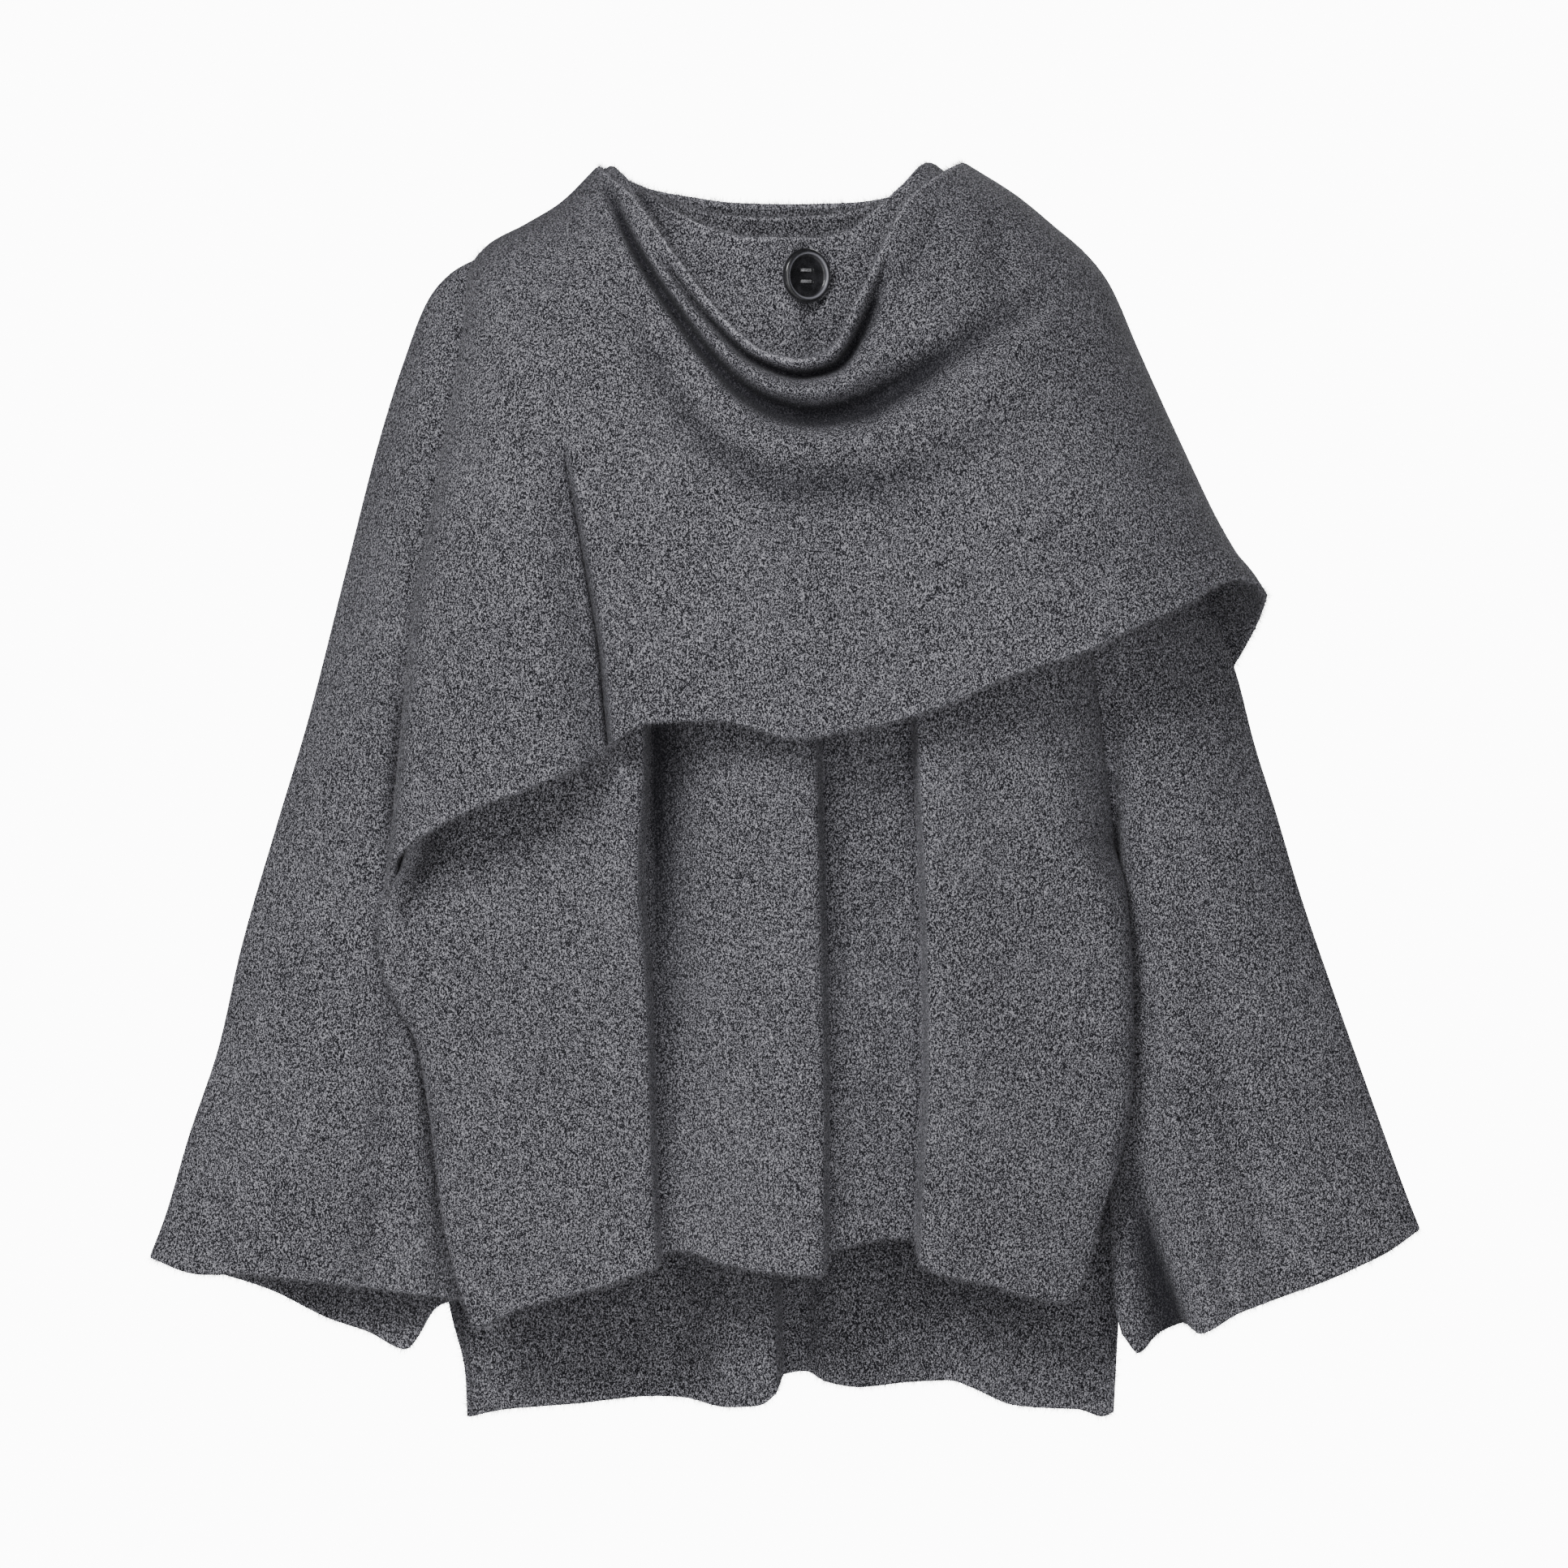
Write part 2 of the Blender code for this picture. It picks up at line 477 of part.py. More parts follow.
def cape_panel(name, side, neck, right, hem, depth, fold_depth, swing, across, down, turn_right, turn_left):
    """The cape's front (side -1) or back (side 1).

    Its outline is four lines: neck, right side (shoulder, then free edge), left side and hem. Points
    between are blended from the four, and stand off the middle plane by the cape's depth, rounded off
    towards the shoulder line on both sides, less the depth of its folds.
    """
    u, v = across[:, None], down[None, :]
    top = path(neck, across)[:, None]
    bottom = path(hem, across)[:, None]
    first, last = path(right, down, "x z off"), path(CAPE_LEFT_SIDE, down)[None]
    edge_off = first[None, :, 2]
    first = first[None, :, :2]
    u3, v3 = u[..., None], v[..., None]
    between_ends = (1 - v3) * top + v3 * bottom
    between_sides = (1 - u3) * first + u3 * last
    corners = (1 - u3) * between_ends[:1] + u3 * between_ends[-1:]
    x, z = np.moveaxis(between_ends + between_sides - corners, -1, 0)

    middle = smooth(depth["z"], depth["depth"], z) - fold_depth(x, z)
    middle = middle + v**2 * smooth(swing["x"], swing["out"], x)
    free = np.clip(edge_off / edge_off.max(), 0, 1)
    near_right = round_off(u, turn_right, 0.5 + 0.4 * free)
    near_left = round_off(1 - u, turn_left)
    y = (edge_off + (middle - edge_off) * near_right) * near_left
    on_seam = (near_left == 0) | ((u == 0) & (edge_off == 0))
    y = np.where(on_seam, SEAM / 2, y)

    points = np.stack([x, side * y, z], axis=-1)
    normals = normals_of(points)
    level(normals, on_seam, np.array([0.0, 1.0, 0.0]))
    return cloth(name, points, normals)


def front_folds(x, z):
    """The depth of all folds of the cape's front."""
    return sum(trough(fold, x, z) for fold in [*COWL_FOLDS.values(), FRONT_CREASE])


def back_folds(x, z):
    """The depth of all folds of the cape's back."""
    return sum(trough(fold, x, z) for fold in BACK_CREASES.values())


def even_to_edges(count, crowd):
    """Shares from 0 to 1, crowded towards both ends."""
    t = np.linspace(0, 1, count)
    return (1 - crowd) * t + crowd * (1 - np.cos(np.pi * t)) / 2


def button():
    """The four-hole button: a dished disc with a raised rim, turned towards the wearer's left."""
    outline = [
        (0, -BUTTON_THICK / 2), (BUTTON_RADIUS - 2, -BUTTON_THICK / 2),
        (BUTTON_RADIUS, -BUTTON_THICK / 2 + 1.4), (BUTTON_RADIUS, BUTTON_THICK / 2),
        (BUTTON_RADIUS - 0.7, BUTTON_THICK / 2 + BUTTON_RIM_RISE),
        (BUTTON_RADIUS - BUTTON_RIM + 0.6, BUTTON_THICK / 2 + BUTTON_RIM_RISE),
        (BUTTON_RADIUS - BUTTON_RIM, BUTTON_THICK / 2), (0, BUTTON_THICK / 2 - 0.5),
    ]
    disc = bmesh.new()
    profile = [disc.verts.new((r * MM, 0, h * MM)) for r, h in outline]
    edges = [disc.edges.new(pair) for pair in zip(profile, profile[1:])]
    bmesh.ops.spin(disc, geom=profile + edges, axis=(0, 0, 1), cent=(0, 0, 0), angle=2 * np.pi, steps=28)
    bmesh.ops.remove_doubles(disc, verts=disc.verts, dist=1e-6)
    bmesh.ops.recalc_face_normals(disc, faces=disc.faces)
    mesh = bpy.data.meshes.new("button")
    disc.to_mesh(mesh)
    disc.free()
    piece = bpy.data.objects.new("button", mesh)
    bpy.context.scene.collection.objects.link(piece)
    for i, (sx, sz) in enumerate(((1, 1), (1, -1), (-1, 1), (-1, -1))):
        hole = bmesh.new()
        bmesh.ops.create_cone(
            hole, cap_ends=True, segments=10, radius1=BUTTON_HOLE_RADIUS * MM,
            radius2=BUTTON_HOLE_RADIUS * MM, depth=4 * BUTTON_THICK * MM,
        )
        place = (sx * BUTTON_HOLE_PLACE * MM, sz * BUTTON_HOLE_PLACE * MM, 0)
        bmesh.ops.translate(hole, verts=hole.verts, vec=place)
        hole_mesh = bpy.data.meshes.new(f"hole {i}")
        hole.to_mesh(hole_mesh)
        hole.free()
        cutter = bpy.data.objects.new(f"button hole cutter {i}", hole_mesh)
        bpy.context.scene.collection.objects.link(cutter)
        cutter.hide_render = True
        cutter.display_type = "WIRE"
        cutter.parent = piece
        cut = piece.modifiers.new(f"hole {i}", "BOOLEAN")
        cut.object = cutter
        cut.solver = "EXACT"
    x, z = BUTTON_PLACE
    piece.rotation_euler = (np.radians(90), 0, np.radians(BUTTON_TURN))
    piece.location = (x * MM, -BUTTON_STAND_OFF * MM, z * MM)
    return piece


def finish(piece, colour, roughness):
    """Gives a piece its own plain material."""
    material = bpy.data.materials.new(piece.name)
    material.use_nodes = True
    shader = material.node_tree.nodes["Principled BSDF"]
    shader.inputs["Base Color"].default_value = (*colour, 1)
    shader.inputs["Roughness"].default_value = roughness
    shader.inputs["Metallic"].default_value = 0
    piece.data.materials.append(material)


def main():
    for old in list(bpy.data.objects):
        bpy.data.objects.remove(old)
    wool, horn = (0.105, 0.107, 0.118), (0.012, 0.012, 0.014)
    pieces = [
        body_panel(
            "sweater_front", -1, FRONT_TOP, FRONT_HEM, FRONT_RIGHT_EDGE, FRONT_LEFT_EDGE,
            FRONT_DEPTH, NECK_FRONT, FRONT_ROWS, 12,
        ),
        body_panel(
            "sweater_back", 1, BACK_TOP, BACK_HEM, BACK_RIGHT_EDGE, BACK_LEFT_EDGE,
            BACK_DEPTH, NECK_BACK, BACK_ROWS, 16,
        ),
        *sleeve(
            "sleeve_right", RIGHT_SLEEVE_OUTER, RIGHT_SLEEVE_INNER, RIGHT_SLEEVE_FOLDS,
            RIGHT_CUFF_FRONT, RIGHT_CUFF_BACK,
        ),
        *sleeve(
            "sleeve_left", LEFT_SLEEVE_OUTER, LEFT_SLEEVE_INNER, LEFT_SLEEVE_FOLDS,
            LEFT_CUFF_FRONT, LEFT_CUFF_BACK,
        ),
        cape_panel(
            "cape_front", -1, CAPE_FRONT_NECK, joined(CAPE_SHOULDER_RIGHT, CAPE_FREE_EDGE), CAPE_FRONT_HEM,
            CAPE_FRONT_DEPTH, front_folds, CAPE_HEM_SWING, even_to_edges(38, 0.5),
            np.linspace(0, 1, 27) ** 1.35, 0.2, 0.24,
        ),
        cape_panel(
            "cape_back", 1, CAPE_BACK_NECK, joined(CAPE_SHOULDER_RIGHT, CAPE_BACK_FREE_EDGE), CAPE_BACK_HEM,
            CAPE_BACK_DEPTH, back_folds, CAPE_BACK_SWING, even_to_edges(26, 0.7),
            np.linspace(0, 1, 13), 0.24, 0.3,
        ),
    ]
    for piece in pieces:
        finish(piece, wool, 0.95)
    finish(button(), horn, 0.25)


main()
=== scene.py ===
"""The finished looks of a knitted poncho sweater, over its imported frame.

Each cloth piece becomes a fine knitted wall on its solid's lines, with sharper folds. Loose wool fibres
stand on every surface and edge, and a glossy button is sewn on at the neck.
Frame: x runs to the wearer's left, the front faces -y, z is up. Tables are in millimetres, meshes in metres.
"""

import math

import bmesh
import bpy
import numpy as np
from bpy.props import FloatProperty, FloatVectorProperty, IntProperty, PointerProperty
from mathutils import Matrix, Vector


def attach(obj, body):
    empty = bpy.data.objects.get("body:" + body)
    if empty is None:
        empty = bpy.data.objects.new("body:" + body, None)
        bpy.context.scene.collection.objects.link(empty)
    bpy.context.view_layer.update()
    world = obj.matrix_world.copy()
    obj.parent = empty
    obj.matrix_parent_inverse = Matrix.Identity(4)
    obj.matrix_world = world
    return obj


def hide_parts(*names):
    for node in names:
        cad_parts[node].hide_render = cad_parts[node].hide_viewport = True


bl_info = {
    "name": "Knitted Poncho Sweater",
    "version": (1, 0, 0),
    "blender": (4, 5, 0),
    "location": "3D View > Sidebar > Poncho",
    "description": "Knitted walls, wool fibres, button and stage of a poncho sweater",
    "category": "Object",
}

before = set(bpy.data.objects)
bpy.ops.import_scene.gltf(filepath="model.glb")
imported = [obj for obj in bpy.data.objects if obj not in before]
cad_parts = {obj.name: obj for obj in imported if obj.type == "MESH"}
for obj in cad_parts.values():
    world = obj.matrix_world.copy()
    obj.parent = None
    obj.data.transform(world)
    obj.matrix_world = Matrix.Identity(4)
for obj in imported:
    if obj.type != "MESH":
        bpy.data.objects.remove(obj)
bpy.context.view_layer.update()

MM = 0.001
DEPTHWISE = np.array([0.0, 1.0, 0.0])  # the direction from front to back
SEAM = 0.01  # gap between two pieces where they are sewn together

NECK_MIDDLE = -7.5  # x of the middle of the sweater's neck
NECK_HALF_WIDTH = 86.5
NECK_FRONT = 53.0  # how far the neck's edge stands forward of the shoulder line
NECK_BACK = 52.0
SHOULDER_ROUNDING = 70.0  # height over which the cloth turns down from the shoulder line
ARMHOLE_DEPTH = 42.0  # half the armhole's width from front to back
ARMHOLE_SEAM = 1.0  # gap between a sleeve and the body, which are sewn together there
SIDE_FALL, SIDE_POWER = 0.22, 2.5  # share of its depth that the body loses at its sides, and how late
RIDGE = {"x": -2, "z": -52, "wide": 20, "high": 26, "rise": 5}  # the soft ridge right of the button


def table(columns, *rows):
    """A table as a dict from each column's name to its values."""
    return dict(zip(columns.split(), np.array(rows, float).T))


# The line of the sweater's shoulders and front neck, seen from the front, and that of its back neck.
FRONT_TOP = table(
    "x z",
    (-160, -33), (-139, -21), (-121, -10.5), (-101, 8), (-94, 14.5), (-86, 7), (-78, 0), (-60, -11),
    (-42, -20), (-20, -26.4), (15, -26.4), (33, -23), (48, -12), (64, 3), (79, 16.3), (86, 12),
    (100, 1), (125, -13), (136, -20),
)
BACK_TOP = table(
    "x z",
    (-160, -33), (-139, -21), (-121, -10.5), (-101, 8), (-94, 14.5), (-80, 4), (-60, -3), (-38, -8.8),
    (-7, -11), (24, -9.7), (54, -3), (68, 5), (79, 16.3), (86, 12), (100, 1), (125, -13), (136, -20),
)

# The hems, with how far each place swings outwards: the flutes' ridges and valleys.
FRONT_HEM = table(
    "x z out",
    (-167, -613, 0), (-143, -601.5, 2), (-118, -594, 4), (-92, -587, 8), (-76, -581, 11), (-70, -579, 12),
    (-66.5, -572, -8), (-56, -570, -9), (-31, -577.5, 0), (-8, -581, 8), (12, -582.5, 12), (20, -582.5, 12),
    (23.5, -572, -4), (42, -566, -9), (56, -563.5, -13), (71, -563.5, -15), (74.5, -577, 12),
    (82, -581.7, 12), (110, -588, 7), (138, -596, 3), (152, -598, 1), (158, -594, 0),
)
BACK_HEM = table(
    "x z out",
    (-171, -662, 0), (-151, -658, -2), (-115, -655.5, 4), (-70, -651.5, 9), (-56, -652, 8),
    (-31, -657, -4), (-14, -656, -9), (-5, -650, -10), (-1, -640, 10), (12, -638, 11), (23, -643.5, 2),
    (40, -646, -5), (70, -643.5, 3), (90, -643, 9), (104, -647.5, 4), (124, -655.5, -6),
    (140, -657, -8), (160, -658, -3), (173, -662, 0), (178, -660, 1),
)

# Down each panel's two side edges: x, how far the edge lies off the middle plane, and the width over
# which the panel turns towards that edge. Down the armhole an edge is straight, from its first row to
# its second, and curves off the middle plane with the armhole itself.
FRONT_RIGHT_EDGE = table(
    "z x off turn",
    (-33, -160, 0, 60), (-350, -203, 1.6, 36), (-359, -205, 12, 32), (-367, -207, 24, 30),
    (-377, -214, 35, 28), (-388, -217.5, 41, 26), (-412, -217, 42, 22), (-440, -207, 39, 16),
    (-460, -197, 34, 10), (-500, -190, 31, 9), (-560, -182, 33, 9), (-613, -167, 35, 9),
)
FRONT_LEFT_EDGE = table(
    "z x off turn",
    (-20, 136, 0, 50), (-350, 178, 1.6, 30), (-359, 179.5, 12, 26), (-368, 182, 22, 20),
    (-380, 184, 30, 14), (-422, 187, 33, 10), (-466, 188, 30, 10), (-502, 185, 31, 10), (-519, 181, 32, 10),
    (-546, 172, 33, 10), (-594, 158, 34, 10),
)
BACK_RIGHT_EDGE = table(
    "z x off turn",
    (-33, -160, 0, 60), (-350, -203, 1.6, 40), (-359, -205, 11, 38), (-370, -207, 20, 36),
    (-395, -205, 26, 32), (-430, -200, 27, 24), (-480, -190, 22, 18), (-560, -184, 18, 14),
    (-600, -181, 16, 12), (-640, -172, 14, 12), (-662, -171, 14, 12),
)
BACK_LEFT_EDGE = table(
    "z x off turn",
    (-20, 136, 0, 60), (-350, 178, 1.6, 40), (-359, 179.5, 11, 38), (-370, 180.5, 20, 36),
    (-395, 180, 26, 32), (-430, 181, 27, 24), (-510, 183, 20, 16), (-554, 182, 17, 14),
    (-598, 181, 16, 12), (-660, 178, 14, 12),
)

# How far each layer stands off the middle plane down the middle of the body.
FRONT_DEPTH = table(
    "z depth", (20, 48), (0, 53), (-26, 57), (-60, 64), (-100, 70), (-180, 76), (-300, 70),
    (-400, 60), (-500, 50), (-620, 42),
)
BACK_DEPTH = table(
    "z depth", (20, 46), (-11, 54), (-60, 64), (-150, 70), (-300, 58), (-450, 40), (-600, 26), (-665, 22),
)
CAPE_FRONT_DEPTH = table(
    "z depth", (20, 58), (-30, 70), (-60, 79), (-93, 88), (-120, 94), (-160, 99), (-250, 102), (-380, 98),
)
CAPE_BACK_DEPTH = table("z depth", (20, 54), (-3, 63), (-60, 76), (-150, 84), (-260, 84), (-360, 78))

# Each sleeve's outer and inner line, from the armhole to the cuff.
RIGHT_SLEEVE_OUTER = table(
    "x z", (-160, -33), (-178, -42), (-191, -56), (-204, -88), (-219, -136), (-237, -207), (-257, -286),
    (-274, -343), (-293, -409), (-305, -462), (-321, -510), (-334, -554), (-342, -575),
)
RIGHT_SLEEVE_INNER = table(
    "x z", (-203, -350), (-207.5, -362), (-210, -380), (-208, -405), (-201, -435), (-190, -480), (-184, -520),
    (-179, -560), (-176, -597),
)
LEFT_SLEEVE_OUTER = table(
    "x z", (136, -20), (152, -33), (165, -50), (178, -84), (194, -134), (213, -187), (231, -228),
    (243, -257), (254, -299), (265, -334), (278, -378), (296, -431), (318, -493), (337, -545), (343, -560),
)
LEFT_SLEEVE_INNER = table(
    "x z", (178, -350), (182, -362), (183.5, -380), (183.5, -405), (183, -435), (181, -470), (179, -510),
    (178, -560), (180, -600), (184, -617),
)
# Along a sleeve: half its depth, how far its middle lies forward, and how pointed its two edges are.
SLEEVE_FORM = table(
    "along half forward point",
    (0, ARMHOLE_DEPTH, 0, 1), (0.1, 41, 0, 1.4), (0.3, 38, 1, 1.7), (0.6, 30, 5, 1.6), (1, 20, 9, 1.3),
)
# Lengthwise folds of the sleeves: place across (0 outer edge, 1 inner), width, rise, and where they start.
RIGHT_SLEEVE_FOLDS = table("at width rise start", (0.72, 0.07, -7, 0.35), (0.88, 0.06, 5, 0.3))
LEFT_SLEEVE_FOLDS = table(
    "at width rise start", (0.70, 0.05, 9, 0.45), (0.46, 0.09, -9, 0.15), (0.86, 0.05, -9, 0.5),
)
BACK_SLEEVE_FOLDS = table("at width rise start", (0.35, 0.08, 6, 0.3), (0.62, 0.07, -6, 0.4))
# How far the cuff's edge hangs below the straight line from its outer to its inner end.
RIGHT_CUFF_FRONT = table("at drop", (0, 0), (0.14, 5), (0.33, 1), (0.8, 0), (1, 0))
RIGHT_CUFF_BACK = table(
    "at drop", (0, 0), (0.17, 3), (0.39, 10), (0.56, 20), (0.7, 25), (0.82, 32), (0.93, 6), (1, 0),
)
LEFT_CUFF_FRONT = table(
    "at drop", (0, 0), (0.13, 6), (0.4, 9), (0.6, 9), (0.74, 13), (0.8, 4), (0.88, 5), (0.95, 12), (1, 0),
)
LEFT_CUFF_BACK = table("at drop", (0, 0), (0.4, 3), (0.8, 2), (0.95, 8), (1, 0))
CUFF_REACH = 0.22  # share of the sleeve over which the cuff's shape fades upwards

# The cape's outlines, seen from the front.
CAPE_FRONT_NECK = table(
    "x z", (-101, 14), (-82, -4), (-60, -35), (-38, -64), (-24, -79), (-10, -89), (8.5, -93),
    (21, -90), (30, -82), (37, -66), (46, -48), (58, -22), (68, -5), (88, 11), (98, 16),
)
CAPE_BACK_NECK = table(
    "x z", (-101, 14), (-86, 9), (-73, 4.5), (-51, 0.5), (-29, -2.5), (0, -3.5), (37, -2.5), (61, 1),
    (82, 8), (98, 16),
)
CAPE_SHOULDER_RIGHT = table("x z", (-101, 14), (-121, -5.5), (-139, -16.5), (-161, -29))
CAPE_FREE_EDGE = table(
    "x z off", (-161, -29, 0), (-169, -42, 18), (-172, -79, 46), (-182, -136, 57), (-187, -167, 61),
    (-198, -224, 66), (-203, -273, 68), (-207, -317, 69), (-211, -356, 68), (-214, -380, 66),
)
CAPE_BACK_FREE_EDGE = table(
    "x z off", (-161, -29, 0), (-169, -42, 18), (-172, -79, 44), (-183, -136, 54), (-194, -220, 60),
    (-202, -320, 60),
)
CAPE_LEFT_SIDE = table(
    "x z", (98, 16), (125, -1), (147, -19), (160, -30), (170, -41), (177, -52), (190, -82), (203, -111),
    (221, -150), (234, -177), (247, -199), (256, -210), (261, -218),
)
CAPE_FRONT_HEM = table(
    "x z", (-214, -380), (-209, -361), (-196, -348), (-170, -333.5), (-135, -320), (-99, -303.5),
    (-82, -289.5), (-70, -285.5), (-35, -284.5), (-14, -289.5), (5, -294), (37, -289.5), (81, -278),
    (125, -259), (162, -247), (191, -233), (213, -223.5), (226, -215), (235, -210.5), (244, -208),
    (254, -211), (261, -218),
)
CAPE_BACK_HEM = table(
    "x z", (-202, -320), (-170, -326), (-110, -322), (-60, -330), (0, -318), (60, -312), (120, -292),
    (190, -272), (225, -266), (243, -256), (252, -242), (258, -229), (261, -218),
)

# The cape's folds, each a soft trough (or a ridge, where deep is below nothing) along its own line. Its
# widths are those on the left and on the right of the way in which the line runs.
COWL_FOLDS = {
    "neck's edge": table(
        "x z deep left right",
        (-72, -18, 0, 3, 3), (-60, -35, -1, 3, 3), (-38, -64, -2.5, 3, 3), (-10, -89, -3, 3, 3.2),
        (8.5, -93, -3, 3, 3.2), (30, -82, -3, 3, 3.2), (46, -48, -1.5, 3, 3), (60, -20, 0, 3, 3),
    ),
    "under the neck's edge": table(
        "x z deep left right steep",
        (-70, -30, 0, 2.6, 2.6, 3), (-56, -51, 7, 2.8, 2.8, 4), (-40, -71, 10, 3, 3, 4),
        (-14, -94, 11.5, 3.4, 3.4, 4), (8, -100.5, 12, 3.6, 4, 4), (27, -96, 12, 4, 4.6, 4),
        (41, -77, 11.5, 4.4, 5, 3.5), (51, -53, 6, 3.8, 4.4, 3), (59, -32, 0, 3, 4, 3),
    ),
    "roll": table(
        "x z deep left right",
        (-76, -18, 0, 4, 4), (-66, -40, -1.5, 4, 4), (-50, -62, -2.5, 4, 4), (-37, -81, -4, 4, 4),
        (-20, -98, -5, 4, 4.5), (-3, -107, -6, 4, 4.5), (10, -110, -6, 4, 4.5), (27, -108, -5.5, 4, 5),
        (45, -96, -4, 5, 6), (60, -76, -3, 6, 7), (74, -50, -1.5, 6, 7), (84, -28, 0, 6, 6),
    ),
    "cowl": table(
        "x z deep left right steep",
        (-99, 8, 0, 4, 3, 4), (-91, -8, 9, 4, 3.4, 4), (-84, -24, 12, 4.2, 3.8, 4),
        (-73, -44, 13.5, 4.4, 4, 4), (-55, -71, 14, 4.8, 4.4, 4), (-38, -93, 14.5, 5.4, 5, 4),
        (-20, -110, 15, 6.2, 6.4, 3.4), (-3, -118, 15, 6.5, 8, 3), (15, -121.5, 14.5, 7, 9.5, 2.6),
        (37, -118, 13.5, 8, 10.5, 2.3), (59, -108, 11.5, 9, 11, 2), (81, -94, 8.5, 10, 12, 2),
        (103, -79, 6, 10, 12, 2), (125, -63, 4, 10, 12, 2), (150, -48, 0, 10, 12, 2),
    ),
    "cowl ridge": table(
        "x z deep left right",
        (-66, -88, 0, 8, 9), (-38, -117, -3, 8, 10), (-3, -138, -4.5, 9, 12), (50, -134, -4.5, 9, 12),
        (90, -110, -4.5, 9, 12), (130, -82, -3, 9, 12), (160, -62, 0, 9, 9),
    ),
    "lower trough": table(
        "x z deep left right",
        (-86, -66, 0, 9, 9), (-73, -86, 3, 9, 9), (-55, -115, 4.5, 10, 10), (-30, -142, 5, 11, 12),
        (10, -158, 5.5, 12, 14), (50, -157, 4.5, 12, 14), (100, -134, 2.5, 12, 14), (150, -104, 0, 12, 14),
    ),
    "along the crease": table(
        "x z deep left right",
        (-121.5, -122, 0, 3, 1.6), (-115, -158, 3, 3.4, 1.8), (-108, -194, 4.5, 3.6, 2),
        (-99.5, -246, 5.5, 3.6, 2), (-96, -282, 6, 3.8, 2), (-92, -320, 6, 3.8, 2),
    ),
    "from the left shoulder": table(
        "x z deep left right",
        (84, -2, 0, 4, 5), (80, -16, 2.2, 5, 6), (70, -42, 2.6, 6, 7), (58, -70, 2, 6, 7), (52, -92, 0, 6, 7),
    ),
    "beside it": table(
        "x z deep left right",
        (104, -2, 0, 6, 6), (112, -22, 2, 7, 7), (112, -46, 2.4, 8, 8), (100, -66, 0, 8, 8),
    ),
}
FRONT_CREASE = table(
    "x z deep left right",
    (-92, -330, 14, 17, 2.4), (-94, -300, 14, 17, 2.4), (-96, -280, 13.5, 17, 2.4),
    (-99, -246, 13, 17, 2.4), (-104, -218, 12, 16, 2.3), (-108, -194, 11, 16, 2.3),
    (-112, -172, 9, 15, 2.3), (-115, -155, 6.5, 14, 2.3), (-118, -135, 3, 13, 2.6), (-122, -108, 0, 12, 3),
)
LEFT_CUFF_CREASE = table(
    "x z deep left right",
    (185, -510, 0, 4, 10), (192, -540, 5, 4, 12), (201, -570, 9, 4, 15), (215, -606, 11, 4, 18),
    (222, -625, 11, 4, 18),
)
BODY_FOLDS = {
    "beside the first flute": table(
        "x z deep left right",
        (-72, -250, 6, 16, 3), (-71, -300, 9, 17, 3), (-70, -350, 8, 18, 3), (-68, -420, 5, 18, 3.4),
        (-66, -500, 2, 16, 4), (-65, -560, 0, 12, 4),
    ),
    "beside the second flute": table(
        "x z deep left right",
        (18, -270, 2, 14, 4), (20, -340, 3, 16, 3.4), (22, -430, 2, 16, 3), (23, -520, 0, 14, 3),
    ),
}
BACK_CREASES = {
    "left of the middle": table(
        "x z deep left right", (62, -340, 7, 8, 12), (50, -220, 4, 8, 10), (40, -100, 0, 8, 8),
    ),
    "right of the middle": table(
        "x z deep left right", (-92, -340, 7, 14, 10), (-84, -240, 5, 12, 8), (-76, -120, 0, 8, 8),
    ),
}
CAPE_HEM_SWING = table("x out", (-215, 0), (-110, 3), (-60, -3), (0, 4), (60, -1), (130, 2), (262, 0))
CAPE_BACK_SWING = table("x out", (-205, 0), (-60, 5), (0, -4), (60, 4), (140, -3), (262, 0))
FOLD_POINTS = 400  # along each fold's line
FOLD_START, FOLD_FULL = -110.0, -330.0  # heights between which the body's flutes grow
EDGE_HOLD = 5  # how quickly the side edges' curves fade towards the middle of a panel
EDGE_HIGHLIGHT_REACH = 0.9  # how far the painted highlight along a free edge reaches in
DEEP_FOLD = 8.5  # depth from which a fold's painted shade is full

# The body's grid: columns beside a side edge, which turns sharply there; rows below the shoulder line and
# under the arms, as shares of the height; and the steps between the others, in the knit's own steps.
EDGE_STEPS = np.array([0, 0.25, 0.7, 1.4, 2.4, 3.8, 5.6])
EDGE_ROWS = np.array([0, 0.0006, 0.002, 0.0045, 0.008, 0.0125])
UNDERARM_ROWS = np.linspace(0.5, 0.64, 42)
FRONT_STEP, BACK_STEP = 1.1, 1.3
BODY_HEIGHT = 620.0
LEAST_ROW = 2e-4  # a row that follows by less is left out

# The other grids: points around a sleeve and down it, and the cape's columns and rows as shares. More
# columns run where the front's crease is, and more rows through the cowl.
SLEEVE_GRID = (150, 130)
CAPE_FRONT_COLUMNS, CAPE_BACK_COLUMNS = (200, 0.6), (180, 0.7)  # how many, and how crowded at the edges
CREASE_COLUMNS = np.linspace(0.2, 0.3, 48)
CAPE_FRONT_ROWS = np.concatenate([np.linspace(0, 0.36, 120, endpoint=False), np.linspace(0.36, 1, 68)])
CAPE_BACK_ROWS = np.linspace(0, 1, 110)
CAPE_FRONT_TURN = (0.2, 0.24)  # shares of its width over which the cape turns down at its right and left
CAPE_BACK_TURN = (0.24, 0.3)

RIPPLE_GROWTH = {"sleeve": 8, "cape": 6}  # ripples are full from an eighth or a sixth of the way down
RIM_HIGHLIGHT = 0.2  # how strong the painted highlight along a free edge is
# Painted highlights along the free edges at the top, the hem, the wearer's right and left, stronger on top.
BODY_RIM_HIGHLIGHTS = (0.8, RIM_HIGHLIGHT, RIM_HIGHLIGHT, RIM_HIGHLIGHT)
CAPE_RIM_HIGHLIGHTS = (1.0, RIM_HIGHLIGHT, 0.8, RIM_HIGHLIGHT)

